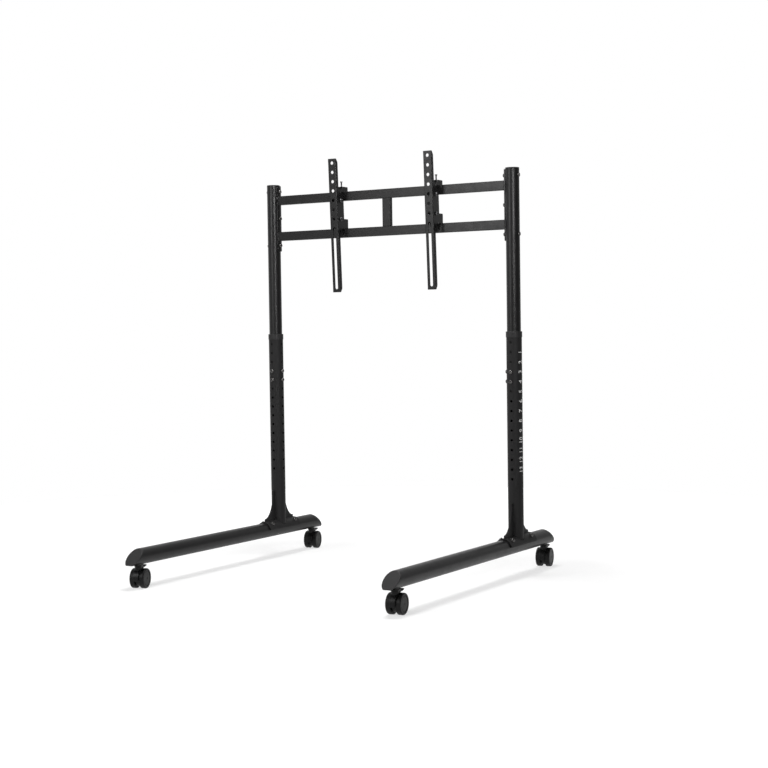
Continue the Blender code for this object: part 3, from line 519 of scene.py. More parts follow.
def punch(radius, low, high):
    """A cutter for a hole between two faces at z = low and high, with chamfered edges."""
    flare = radius + 2 * SMALL_EDGE
    return lathe([(flare, low - SMALL_EDGE), (radius, low + SMALL_EDGE),
                  (radius, high - SMALL_EDGE), (flare, high + SMALL_EDGE)], SMALL_ROUND)


def tube_section(width, height):
    """The outline of a bar or of the strut, round its middle."""
    return fillet(rectangle(-width / 2, -height / 2, width / 2, height / 2), BAR_CORNER, steps=5)


def bent_plate(inner, outer, wrap, half_length, corner, edge):
    """A plate bent about Z, facing +X, with rounded corners and edges."""
    middle = (inner + outer) / 2
    reach = wrap * middle
    ease = [corner * (1 - cos(a)) for a in quarter(5)[1:]]
    ends = [0, edge * 0.3, edge] + [e for e in ease if e > edge * 1.2]
    inside = reach - corner
    count = max(4, round(2 * inside / BEND_STEP))
    span = [-reach + e for e in ends]
    span += [-inside + 2 * inside * k / count for k in range(1, count)]
    span += [reach - e for e in reversed(ends)]
    rings = []
    for s in span:
        left = reach - abs(s)
        length = half_length
        if left < corner:
            length -= corner - sqrt(max(corner ** 2 - (corner - left) ** 2, 0))
        shrink = max(0.0, edge - left) * 0.6
        low, high = inner + shrink, outer - shrink
        section = fillet(rectangle(low, -length, high, length), edge, steps=2)
        angle = s / middle
        rings.append([(r * cos(angle), r * sin(angle), z) for r, z in section])
    return loft(rings)


def evenly(path, step, closed=True):
    """Points a step apart along a path."""
    points = [Vector(p) for p in path]
    if closed:
        points.append(points[0])
    spaced = []
    left = 0.0
    for start, end in zip(points, points[1:]):
        length = (end - start).length
        while left < length:
            spaced.append(start.lerp(end, left / length))
            left += step
        left -= length
    return spaced


def bead(path, closed=True, radius=WELD_RADIUS):
    """A weld bead along a path, with the ripples that a weld leaves."""
    points = evenly(path, WELD_RIPPLE / 4, closed)
    count = len(points)
    side = None
    rings = []
    for k, point in enumerate(points):
        ahead = points[(k + 1) % count] if closed or k < count - 1 else point
        behind = points[k - 1] if closed or k else point
        along = (ahead - behind).normalized()
        side = along.orthogonal() if side is None else side - along * side.dot(along)
        side.normalize()
        up = along.cross(side)
        size = radius * (1 + WELD_SWELL * sin(pi * k / 2))
        rings.append([point + side * u + up * v for u, v, _ in circle(size, 0, BEAD_SIDES)])
    return loft(rings, closed)


# Finishes

def wired(tree, node, inputs):
    """The node with those inputs, each of them a value or a link from a socket."""
    for name, value in inputs.items():
        if isinstance(value, bpy.types.NodeSocket):
            tree.links.new(value, node.inputs[name])
        else:
            node.inputs[name].default_value = value
    return node


def added(tree, kind, inputs, **settings):
    """A new shader node with its settings and inputs."""
    node = tree.nodes.new(f"ShaderNode{kind}")
    for name, value in settings.items():
        setattr(node, name, value)
    return wired(tree, node, inputs)


def noise(tree, scale, detail=2.0, roughness=0.5):
    """Noise in the object's own metres: scale is features per metre."""
    place = added(tree, "TexCoord", {}).outputs["Object"]
    return added(tree, "TexNoise", {"Scale": scale, "Detail": detail, "Roughness": roughness,
                                    "Vector": place}).outputs["Fac"]


def spread(tree, value, start, end, low, high):
    """A socket that goes from low to high while value goes from start to end."""
    return added(tree, "MapRange", {"Value": value, "From Min": start, "From Max": end,
                                    "To Min": low, "To Max": high}).outputs["Result"]


def ranged(tree, source, low, high):
    """The noise's middle range spread over low to high."""
    return spread(tree, source, *NOISE_MIDDLE, low, high)


def grained(name, dark, light, rough_low, rough_high, grain, height, specular=0.5, metallic=0.0):
    """A finish with wandering colour and gloss, and a fine grain of that height in metres."""
    made = bpy.data.materials.new(name)
    made.use_nodes = True
    tree = made.node_tree
    shade = added(tree, "Mix", {"A": (*dark, 1), "B": (*light, 1),
                                "Factor": ranged(tree, noise(tree, COLOUR_SCALE), 0, 1)}, data_type="RGBA")
    gloss = ranged(tree, noise(tree, GLOSS_SCALE, 4), rough_low, rough_high)
    bump = added(tree, "Bump", {"Strength": 1.0, "Distance": height, "Height": noise(tree, grain, 3, 0.6)})
    shader = tree.nodes["Principled BSDF"]
    wired(tree, shader, {"Base Color": (*dark, 1), "Roughness": rough_low,
                         "Specular IOR Level": specular, "Metallic": metallic})
    wired(tree, shader, {"Base Color": shade.outputs["Result"], "Roughness": gloss,
                         "Normal": bump.outputs["Normal"]})
    return made


POWDER = grained("powder_coat", (0.0045, 0.0043, 0.0045), (0.0062, 0.0060, 0.0062), 0.32, 0.40,
                 1500, 0.00006, specular=0.27)
# A darker steel for the upper posts' length inside the sleeves: painted shade, so that the sleeve's holes
# look dark
HOLE_SHADE_STEEL = grained("hole_shade_steel", (0.0030, 0.0029, 0.0029), (0.0042, 0.0041, 0.0040), 0.46, 0.56,
                      1500, 0.00003, specular=0.15)
MATT_POWDER = grained("matt_powder_coat", (0.0065, 0.0063, 0.0065), (0.0085, 0.0082, 0.0085), 0.54, 0.62,
                      1500, 0.00007, specular=0.24)
CAP_PLASTIC = grained("cap_plastic", (0.0110, 0.0106, 0.0110), (0.0140, 0.0136, 0.0140), 0.50, 0.58,
                      2600, 0.00004, specular=0.30)
CASTER_PLASTIC = grained("caster_plastic", (0.0022, 0.0022, 0.0022), (0.0034, 0.0034, 0.0034), 0.36, 0.44,
                         3000, 0.00002, specular=0.20)
TREAD = grained("caster_tread", (0.0025, 0.0025, 0.0025), (0.0040, 0.0040, 0.0039), 0.42, 0.52,
                2600, 0.00003, specular=0.20)
BLACK_BOLT = grained("blackened_bolt", (0.075, 0.072, 0.071), (0.110, 0.107, 0.105), 0.14, 0.20,
                     3500, 0.00002, specular=0.50, metallic=0.8)
ZINC = grained("zinc_bolt", (0.06, 0.06, 0.062), (0.10, 0.10, 0.103), 0.36, 0.48,
               3500, 0.00002, specular=0.4, metallic=0.8)
WHITE_PAINT = grained("white_paint", (0.74, 0.74, 0.73), (0.80, 0.80, 0.79), 0.55, 0.65,
                      1500, 0.00003)


def piece(obj, node, body, finish, replaces=True):
    """Names a finished piece, gives it its finish and lets it ride on its body."""
    obj.name = f"{node}_look"
    obj.data.name = obj.name
    obj.data.materials.clear()
    obj.data.materials.append(finish)
    obj.data.shade_smooth()
    obj.data.set_sharp_from_angle(angle=SHARP_ANGLE)
    obj.modifiers.new("flat faces stay flat", "WEIGHTED_NORMAL").keep_sharp = True
    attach(obj, body)
    if replaces:
        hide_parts(node)


# Legs

def leg_loop(inset=0.0):
    """The leg's outline seen from its end, its flat underside at the bottom, inset evenly."""
    radius = LEG_RADIUS - inset
    flat = LEG_FLAT - inset
    edge = asin(flat / radius)
    outline = arc(radius, -edge, pi + edge, LEG_FACETS)
    corners = [0.0] * len(outline)
    corners[0] = corners[-1] = max(LEG_EDGE - inset, THIN_EDGE)
    return fillet(outline, corners, steps=4)


def slanted(inset, y, sign=1):
    """The leg's outline as a ring that leans back from y at 45 degrees."""
    return [(u, y + sign * (v + LEG_FLAT), v) for u, v in leg_loop(inset)]


def leg_tube(side, x):
    front = FRONT_TIP_Y + CAP_FLANGE
    rear = REAR_TIP_Y - CAP_FLANGE
    tube = loft([slanted(SMALL_EDGE, front), slanted(0, front + SMALL_EDGE),
                 slanted(0, rear - SMALL_EDGE, -1), slanted(SMALL_EDGE, rear, -1),
                 slanted(LEG_WALL, rear, -1), slanted(LEG_WALL, front)], True)
    shifted(tube, x=x, z=LEG_AXIS_Z)
    piece(tube, f"{side}_leg_tube", "base", POWDER)


def leg_cap(side, end, x):
    """A slanted cap with a rounded rim and a hollow plug."""
    cover = CAP_FLANGE - GAP
    plug = LEG_WALL + GAP
    rings = [slanted(plug + CAP_PLUG_WALL, cover), slanted(plug + CAP_PLUG_WALL, cover + CAP_PLUG_DEPTH),
             slanted(plug, cover + CAP_PLUG_DEPTH), slanted(plug, cover), slanted(0, cover)]
    rings += [slanted(CAP_EDGE * (1 - cos(a)), CAP_EDGE * (1 - sin(a))) for a in quarter(6)]
    front = end == "front"
    cap = turned(loft(rings), 0 if front else pi)
    shifted(cap, x, FRONT_TIP_Y if front else REAR_TIP_Y, LEG_AXIS_Z)
    piece(cap, f"{side}_{end}_leg_cap", "base", CAP_PLASTIC)


# Lower posts

def fishmouth(radius, saddle_radius):
    """The ring where an upright tube of that radius meets a tube that lies along Y."""
    return [(x, y, sqrt(saddle_radius ** 2 - x ** 2)) for x, y, _ in circle(radius, 0)]


def sleeve(inner_side):
    """The drilled tube, its foot shaped to the saddle. Its origin is on the leg's axis."""
    top = SLEEVE_TOP - LEG_AXIS_Z
    seat = SADDLE_INNER + SADDLE_WALL / 2
    tube = loft([fishmouth(SLEEVE_RADIUS, seat), circle(SLEEVE_RADIUS, top),
                 circle(SLEEVE_BORE, top), fishmouth(SLEEVE_BORE, seat)], True)
    drills = []
    for k in range(HOLE_COUNT):
        z = FIRST_HOLE_Z - LEG_AXIS_Z - k * HOLE_PITCH
        for angle in (-pi / 2, inner_side):
            drill = along_x(lathe([(BOLT_RADIUS, SLEEVE_BORE * 0.9), (BOLT_RADIUS, SLEEVE_RADIUS - EDGE),
                                   (BOLT_RADIUS + EDGE + SMALL_EDGE, SLEEVE_RADIUS + SMALL_EDGE)],
                                  DRILL_ROUND))
            drills.append(shifted(turned(drill, angle), z=z))
    return cut(tube, *drills)


def gusset():
    """A plate in front of the sleeve whose free edge is a hollow curve."""
    inner = SLEEVE_BORE + SLEEVE_WALL / 2
    foot = SADDLE_INNER + SADDLE_WALL / 2
    reach = GUSSET_REACH - SLEEVE_RADIUS - GUSSET_LIP
    rise = GUSSET_HEIGHT - GUSSET_LIP
    hollow = [(SLEEVE_RADIUS + GUSSET_LIP + reach * (1 - sin(a)),
               SADDLE_OUTER + GUSSET_LIP + rise * (1 - cos(a))) for a in quarter(20)]
    outline = [(inner, foot), (GUSSET_REACH, foot)] + hollow + [(inner, SADDLE_OUTER + GUSSET_HEIGHT)]
    return turned(softened(side_on(prism(outline, -GUSSET_HALF, GUSSET_HALF)), EDGE), pi)


def gusset_welds():
    """The beads down both sides of the front gusset, along the sleeve and the saddle."""
    welds = []
    for sign in (-1, 1):
        x = sign * GUSSET_HALF
        on_sleeve = -sqrt(SLEEVE_RADIUS ** 2 - x ** 2)
        on_saddle = sqrt(SADDLE_OUTER ** 2 - x ** 2)
        path = [(x, on_sleeve, SADDLE_OUTER + GUSSET_HEIGHT - WELD_TOP_STOP), (x, on_sleeve, on_saddle),
                (x, WELD_TIP_STOP - GUSSET_REACH, on_saddle)]
        welds.append(bead(path, closed=False))
    return welds


def boss(y, angle):
    """A round seat for a saddle bolt on the saddle's shoulder."""
    disc = lathe([(BOSS_RADIUS, SADDLE_INNER + SADDLE_WALL / 2), (BOSS_RADIUS, BOSS_FACE - EDGE),
                  (BOSS_RADIUS - EDGE, BOSS_FACE)], SMALL_ROUND)
    return shifted(leaned(disc, angle), y=y)


def lower_post(side, x, inner_side):
    saddle = bent_plate(SADDLE_INNER, SADDLE_OUTER, SADDLE_WRAP, SADDLE_LENGTH / 2, SADDLE_CORNER, BENT_EDGE)
    foot = evenly(fishmouth(SLEEVE_RADIUS, SADDLE_OUTER), WELD_RIPPLE)
    parts = [along_leg(saddle), sleeve(inner_side), bead(foot, radius=FOOT_WELD_RADIUS)]
    for turn, sign in ((0, -1), (pi, 1)):
        for part in [gusset()] + gusset_welds():
            parts.append(turned(part, turn))
        for angle in (SADDLE_BOLT_ANGLE, pi - SADDLE_BOLT_ANGLE):
            parts.append(boss(sign * SADDLE_BOLT_Y, angle))
    post = shifted(joined(*parts), x, POST_Y, LEG_AXIS_Z)
    piece(post, f"{side}_lower_post", "base", MATT_POWDER)


def sleeve_collar(side, x):
    bore = UPPER_RADIUS + GAP
    inner = SLEEVE_RADIUS + GAP
    outline = [(bore, GAP), (bore, COLLAR_LIP), (COLLAR_RADIUS, COLLAR_LIP), (COLLAR_RADIUS, -COLLAR_SKIRT),
               (inner, -COLLAR_SKIRT), (inner, GAP)]
    profile = fillet(outline, [0, EDGE, ROUND_EDGE, SMALL_EDGE, 0, 0])
    collar = shifted(lathe(profile, closed=True), x, POST_Y, SLEEVE_TOP)
    piece(collar, f"{side}_sleeve_collar", "base", CAP_PLASTIC)


# Fasteners

def head_rings(face):
    """Rings of a button head on z = face, from its socket's floor to the rim under it."""
    top = face + HEAD_HEIGHT
    low = top - SOCKET_DEPTH
    rings = [ring(SOCKET_ACROSS * 0.3, low - EDGE), hexagon(SOCKET_ACROSS, low),
             hexagon(SOCKET_ACROSS, top - TINY_EDGE), hexagon(SOCKET_ACROSS + 2 * TINY_EDGE, top)]
    for a in quarter(8):
        rings.append(ring(HEAD_CROWN + (HEAD_RADIUS - HEAD_CROWN) * sin(a),
                          face + HEAD_RIM + (HEAD_HEIGHT - HEAD_RIM) * cos(a)))
    return rings + [ring(HEAD_RADIUS, face + HEAD_UNDERCUT), ring(HEAD_RADIUS - HEAD_UNDERCUT, face)]


def screw(face, tip):
    """A button-head screw along Z, its head on z = face."""
    return loft(head_rings(face) + [ring(BOLT_RADIUS, face), ring(BOLT_RADIUS, tip)])


def bolt(length, barrel=False):
    """A button-head bolt along Z: the head sits on z = 0, its hexagon or barrel nut starts at -length."""
    end = -length - NUT_HEIGHT
    nut = NUT_RADIUS * sqrt(3)
    rings = head_rings(0) + [ring(BOLT_RADIUS, 0), ring(BOLT_RADIUS, -length)]
    if barrel:
        rings += [ring(radius, -length - depth) for radius, depth in
                  fillet([(HEAD_RADIUS, 0), (HEAD_RADIUS, BARREL_NUT_HEIGHT), (CENTRE, BARREL_NUT_HEIGHT)],
                         BARREL_NUT_ROUND, closed=False, steps=5)]
    else:
        rings += [ring(nut / 2, -length), hexagon(nut, -length - EDGE), hexagon(nut, end + EDGE),
                  ring(nut / 2, end), ring(BOLT_RADIUS, end), ring(BOLT_RADIUS - THIN_EDGE, end)]
    return loft(rings)


def post_seat(half):
    """How far from its axis a flat face that reaches half to each side sits inside the upper post."""
    return sqrt(SEAT_RADIUS ** 2 - half ** 2) - GAP


def saddle_bolts(side, x):
    """Each pair of saddle bolts screws into one curved nut plate inside the leg."""
    reach = pi / 2 - SADDLE_BOLT_ANGLE + NUT_PLATE_MARGIN / LEG_PLATE_RADIUS
    for end, sign in (("front", -1), ("rear", 1)):
        parts = [along_leg(bent_plate(LEG_PLATE_RADIUS - NUT_PLATE_WALL, LEG_PLATE_RADIUS, reach,
                                      NUT_PLATE_HALF, NUT_PLATE_CORNER, THIN_EDGE))]
        for angle in (SADDLE_BOLT_ANGLE, pi - SADDLE_BOLT_ANGLE):
            parts.append(leaned(screw(BOSS_FACE + GAP, LEG_PLATE_RADIUS - NUT_PLATE_WALL / 2), angle))
        pair = shifted(joined(*parts), x, POST_Y + sign * SADDLE_BOLT_Y, LEG_AXIS_Z)
        piece(pair, f"{side}_{end}_saddle_bolts", "base", BLACK_BOLT)


def crossbar_bolts(side, x, inner_side):
    """The middle bolt holds the post's inner wall, the others go right through to a barrel nut."""
    face = BRACKET_OUTER + GAP
    for name, drop in BOLT_DROPS.items():
        middle = name == "middle"
        length = face - post_seat(NUT_RADIUS) if middle else face + UPPER_RADIUS + GAP
        made = turned(shifted(along_x(bolt(length, barrel=not middle)), x=face), inner_side)
        shifted(made, x, POST_Y, POST_TOP - drop)
        piece(made, f"{side}_{name}_crossbar_bolt", "upper_frame", BLACK_BOLT)


def height_bolts(side, x, inner_side):
    """Each pair of height bolts screws into one nut plate inside the upper post."""
    half = NUT_PLATE_HALF
    plate_face = post_seat(half)
    low = HEIGHT_BOLT_ZS[1] - NUT_PLATE_MARGIN
    high = HEIGHT_BOLT_ZS[0] + NUT_PLATE_MARGIN
    for place, angle in (("front", -pi / 2), ("inner", inner_side)):
        parts = [block((plate_face - NUT_PLATE_WALL, -half, low), (plate_face, half, high), THIN_EDGE)]
        for z in HEIGHT_BOLT_ZS:
            part = screw(SLEEVE_RADIUS + GAP, plate_face - NUT_PLATE_WALL / 2)
            parts.append(shifted(along_x(part), z=z))
        pair = shifted(turned(joined(*parts), angle), x, POST_Y)
        piece(pair, f"{side}_{place}_height_bolts", "upper_frame", BLACK_BOLT)


# Upper frame

def upper_post(side, x):
    """A tube with a painted length above the sleeve and, inside the sleeve, a darker length whose colour is
    painted shade, so that the sleeve's holes read dark.
    """
    outline = fillet(rectangle(UPPER_RADIUS, POST_TOP, UPPER_BORE, POST_BOTTOM), SMALL_EDGE)
    tube = shifted(lathe(outline + [(UPPER_RADIUS, SLEEVE_TOP)], closed=True), x, POST_Y)
    piece(tube, f"{side}_upper_post", "upper_frame", POWDER)
    tube.data.materials.append(HOLE_SHADE_STEEL)
    # Faces inside the sleeve take the darker steel: painted shade that shows through the sleeve's holes
    for polygon in tube.data.polygons:
        if polygon.center.z < SLEEVE_TOP:
            polygon.material_index = 1


def post_cap(side, x):
    plug = UPPER_BORE - GAP
    outline = [(CENTRE, POST_CAP_HEIGHT), (UPPER_RADIUS, POST_CAP_HEIGHT), (UPPER_RADIUS, GAP), (plug, GAP),
               (plug, -POST_CAP_PLUG), (plug - CAP_PLUG_WALL, -POST_CAP_PLUG),
               (plug - CAP_PLUG_WALL, 0), (CENTRE, 0)]
    profile = fillet(outline, [0, POST_CAP_ROUND, 0, 0, SOFT_EDGE, 0, 0, 0], closed=False, steps=8)
    cap = shifted(lathe(profile), x, POST_Y, POST_TOP)
    piece(cap, f"{side}_post_cap", "upper_frame", CAP_PLASTIC)


def crossbar_frame():
    """Two bars and two curved end brackets, with their welds."""
    bar_end = POST_X - BRACKET_INNER - BRACKET_WALL / 2
    section = tube_section(BAR_DEPTH, BAR_HEIGHT)
    levels = (0, -BAR_SPACING)
    parts = [loft([[(x, u, z + v) for u, v in section] for x in (-bar_end, bar_end)]) for z in levels]
    for sign in (-1, 1):
        bracket = bent_plate(BRACKET_INNER, BRACKET_OUTER, BRACKET_WRAP, BRACKET_HEIGHT / 2,
                             BRACKET_CORNER, BENT_EDGE)
        turned(bracket, 0 if sign < 0 else pi)
        parts.append(shifted(bracket, x=sign * POST_X, z=POST_TOP - TOP_BAR_Z - BRACKET_HEIGHT / 2))
        for z in levels:
            parts.append(bead([(sign * (POST_X - sqrt(BRACKET_OUTER ** 2 - u ** 2)), u, z + v)
                               for u, v in section]))
    made = shifted(joined(*parts), y=POST_Y, z=TOP_BAR_Z)
    piece(made, "crossbar_frame", "upper_frame", POWDER)


def crossbar_strut():
    """The upright tube between the bars, with the welds at its two ends."""
    section = tube_section(STRUT_WIDTH, BAR_DEPTH)
    low = -BAR_SPACING + BAR_HEIGHT / 2
    high = -BAR_HEIGHT / 2
    parts = [loft([[(u, v, z) for u, v in section] for z in (low + GAP, high - GAP)])]
    half_depth = BAR_DEPTH / 2 - BAR_CORNER
    for z in (low, high):
        around = rectangle(-STRUT_WIDTH / 2, -half_depth, STRUT_WIDTH / 2, half_depth)
        parts.append(bead(fillet([(u, v, z) for u, v in around], BAR_CORNER)))
    strut = shifted(joined(*parts), y=POST_Y, z=TOP_BAR_Z)
    piece(strut, "crossbar_strut", "upper_frame", POWDER)


# Arms

def channel(depth, inset=0.0):
    """The rail's U section in XY, open to +Y, with the bends of folded sheet."""
    half = RAIL_WIDTH / 2 - inset
    face = RAIL_FACE + inset
    inner = RAIL_WIDTH / 2 - RAIL_WALL + inset
    back = RAIL_FACE + depth - inset
    web = RAIL_FACE + RAIL_WALL - inset
    corners = [(-half, back), (-half, face), (half, face), (half, back),
               (inner, back), (inner, web), (-inner, web), (-inner, back)]
    return fillet(corners, [EDGE, RAIL_BEND, RAIL_BEND] + [EDGE] * 5, steps=4)


def arm_rail(side, x):
    """The slotted channel that a monitor is screwed to."""
    bottom = RAIL_TOP - RAIL_LENGTH
    run = [(bottom, RAIL_END_DEPTH), (bottom + RAIL_TAPER, RAIL_SIDE_DEPTH),
           (EAR_BOTTOM - EAR_RUN, RAIL_SIDE_DEPTH), (EAR_BOTTOM, EAR_DEPTH), (EAR_TOP, EAR_DEPTH),
           (EAR_TOP + EAR_RUN, RAIL_SIDE_DEPTH), (RAIL_TOP - RAIL_TAPER, RAIL_SIDE_DEPTH),
           (RAIL_TOP, RAIL_END_DEPTH)]
    rounds = [0, RAIL_TAPER_ROUND] + [RAIL_EAR_ROUND] * 4 + [RAIL_TAPER_ROUND, 0]
    stations = [(z, depth, 0) for z, depth in fillet(run, rounds, closed=False, steps=5)[1:-1]]
    stations = ([(bottom, RAIL_END_DEPTH, THIN_EDGE), (bottom + THIN_EDGE, RAIL_END_DEPTH, 0)] + stations
                + [(RAIL_TOP - THIN_EDGE, RAIL_END_DEPTH, 0), (RAIL_TOP, RAIL_END_DEPTH, THIN_EDGE)])
    rail = loft([[(u, v, z) for u, v in channel(depth, inset)] for z, depth, inset in stations])
    front, back = -RAIL_FACE - RAIL_WALL, -RAIL_FACE
    tools = []
    for k in range(RAIL_HOLE_COUNT):
        hole = along_y(punch(HOLE_RADIUS, front, back))
        tools.append(shifted(hole, z=RAIL_FIRST_HOLE - k * HOLE_PITCH))
    slot_top = RAIL_FIRST_HOLE - (RAIL_HOLE_COUNT - 1) * HOLE_PITCH - RAIL_SLOT_DROP
    upper = slot_top - HOLE_RADIUS
    lower = slot_top - RAIL_SLOT_LENGTH + HOLE_RADIUS
    slot = (arc(HOLE_RADIUS, 0, pi, 16, (0, upper))
            + arc(HOLE_RADIUS, pi, 2 * pi, 16, (0, lower)))
    tools.append(along_y(prism(slot, front - RAIL_WALL, back + RAIL_WALL)))
    cut(rail, *tools)
    cut(rail, side_on(prism(tilt_slot(), -RAIL_WIDTH, RAIL_WIDTH)))
    placed(rail, Matrix.Translation((x, PIVOT_Y, PIVOT_Z)) @ Matrix.Rotation(REST_TILT, 4, "X"))
    piece(rail, f"{side}_arm_rail", f"{side}_rail", POWDER)


def tilt_slot():
    """The curved slot for the tilt bolt, in the rail's own upright frame."""
    radius = BOLT_RADIUS + GAP
    start = -pi / 2
    end = start - TILT_TRAVEL
    last, first = (arc(TILT_BOLT_DROP, angle, angle, 1)[0] for angle in (end, start))
    return (arc(TILT_BOLT_DROP + radius, start, end, 8) + arc(radius, end, end - pi, 10, last)[1:-1]
            + arc(TILT_BOLT_DROP - radius, end, start, 8)
            + arc(radius, start + pi, start, 10, first)[1:-1])


def hook_plate():
    """One side plate of the hook bracket, from (y, z) measured from the tilt pivot."""
    low_top = BAR_TOP - BAR_SPACING
    front = -PLATE_MARGIN
    bar_back = BAR_FRONT + BAR_DEPTH + 2 * GAP
    top = TOP_SHELF - SHELF_PROUD
    middle = LOWER_SHELF - SHELF_PROUD
    low_end, top_end = low_top - HOOK_DROP, BAR_TOP - HOOK_DROP
    outline = [(front, PLATE_MARGIN), (front, -TILT_BOLT_DROP - PLATE_MARGIN),
               (BAR_FRONT - HOOK_NOSE, low_end), (BAR_FRONT, low_end), (BAR_FRONT, low_top),
               (bar_back, low_top), (bar_back, low_end), (HOOK_REAR, low_end + HOOK_SLANT),
               (HOOK_REAR, middle), (BAR_FRONT, middle), (BAR_FRONT, BAR_TOP), (bar_back, BAR_TOP),
               (bar_back, top_end), (HOOK_REAR, top_end + HOOK_SLANT), (HOOK_REAR, top), (SHELF_FRONT, top)]
    wide, even, tight = 0.006, 0.003, 0.001
    corners = [wide, wide, 2 * tight] + [tight] * 4 + [even] * 3 + [tight] * 3 + [even] * 3
    return fillet(outline, corners, steps=4)


def hook_bracket(side, x):
    """Two plates and two shelves, hooked over both bars."""
    parts = []
    for low in (-PLATE_OUTER, PLATE_OUTER - PLATE_WALL):
        parts.append(side_on(softened(prism(hook_plate(), low, low + PLATE_WALL), SMALL_EDGE)))
    for front, top in ((SHELF_FRONT, TOP_SHELF), (BAR_FRONT, LOWER_SHELF)):
        parts.append(block((-PLATE_OUTER, front, top - PLATE_WALL), (PLATE_OUTER, HOOK_REAR, top),
                           SHELF_EDGE, 3))
    made = shifted(joined(*parts), x, PIVOT_Y, PIVOT_Z)
    piece(made, f"{side}_hook_bracket", f"{side}_arm", POWDER)


def arm_bolts(side, x):
    """The pivot bolt and the tilt bolt, through rail and bracket."""
    face = RAIL_WIDTH / 2 + GAP
    for name, drop in (("pivot", 0), ("tilt", TILT_BOLT_DROP)):
        made = shifted(along_x(bolt(2 * face)), x + face, PIVOT_Y, PIVOT_Z - drop)
        piece(made, f"{side}_{name}_bolt", f"{side}_arm", ZINC)


def lock_screw(side, x):
    """The threaded screw that clamps the bracket to the top bar, with a flat socket head."""
    low, high = (corner.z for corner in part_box(f"{side}_lock_screw"))
    under = high - LOCK_HEAD_HEIGHT
    bed = high - LOCK_SOCKET_DEPTH
    rings = [ring(LOCK_SOCKET / 4, bed - SMALL_EDGE), hexagon(LOCK_SOCKET, bed), hexagon(LOCK_SOCKET, high)]
    rings += [ring(radius, z) for radius, z in
              fillet([(LOCK_SOCKET, high), (LOCK_HEAD_RADIUS, high), (LOCK_HEAD_RADIUS, under),
                      (LOCK_RADIUS, under)], EDGE, closed=False)]
    for k in range(int((under - low - LOCK_THREAD) / LOCK_THREAD)):
        z = under - k * LOCK_THREAD
        rings += [ring(LOCK_ROOT_RADIUS, z), ring(LOCK_RADIUS, z - LOCK_THREAD / 2)]
    rings.append(ring(LOCK_TIP_RADIUS, low))
    made = shifted(loft(rings), x, POST_Y)
    piece(made, f"{side}_lock_screw", f"{side}_lock", ZINC)


# Casters

def caster_stem(name, x, y):
    """The pin under the leg with its round shoulder, and its nut inside the leg."""
    nut_low, nut_high = STEM_NUT
    low, high = STEM_SHOULDER
    profile = [(STEM_PIN_RADIUS, STEM_TOP), (STEM_RADIUS, STEM_TOP - STEM_CHAMFER), (STEM_RADIUS, nut_high),
               (STEM_NUT_RADIUS, nut_high), (STEM_NUT_RADIUS, nut_low), (STEM_RADIUS, nut_low),
               (STEM_RADIUS, high), (STEM_NUT_RADIUS - EDGE, high), (STEM_NUT_RADIUS, high - THIN_EDGE),
               (STEM_NUT_RADIUS, low + THIN_EDGE), (STEM_NUT_RADIUS - EDGE, low), (STEM_PIN_RADIUS, low),
               (STEM_PIN_RADIUS, STEM_BOTTOM + THIN_EDGE), (STEM_PIN_RADIUS - THIN_EDGE, STEM_BOTTOM)]
    stem = shifted(lathe(profile, SMALL_ROUND), x, y, LEG_UNDERSIDE)
    piece(stem, f"{name}_caster_stem", "base", BLACK_BOLT)


def at_axle(obj):
    return shifted(obj, y=CASTER_TRAIL, z=WHEEL_RADIUS)


def swivelled(obj, name, x, y):
    """Turns a shape made round the swivel axis as that caster rests, at its place."""
    return shifted(turned(obj, SWIVELS[name]), x, y)


def fender():
    """The hood over and in front of the wheels, which narrows as it comes down."""
    inner = WHEEL_RADIUS + FENDER_GAP
    outer = inner + FENDER_WALL
    swing = FENDER_FRONT_END - FENDER_REAR_END
    steps = 36
    rings = []
    for k in range(steps + 1):
        part = k / steps
        a = FENDER_REAR_END + swing * part
        down = max(0.0, (part - FENDER_EVEN_SHARE) / (1 - FENDER_EVEN_SHARE))
        half = (FENDER_TOP_WIDTH + (FENDER_LOW_WIDTH - FENDER_TOP_WIDTH) * down) / 2
        tip = min(part, 1 - part) * swing * outer
        round_off = FENDER_TIP_ROUND if part > 0.5 else FENDER_ROOT_ROUND
        if tip < round_off:
            half -= round_off - sqrt(round_off ** 2 - (round_off - tip) ** 2)
        section = fillet(rectangle(-half, inner, half, outer),
                         [SOFT_EDGE, SOFT_EDGE, ROUND_EDGE, ROUND_EDGE], steps=4)
        rings.append([(u, r * cos(a), r * sin(a)) for u, r in section])
    return at_axle(loft(rings))


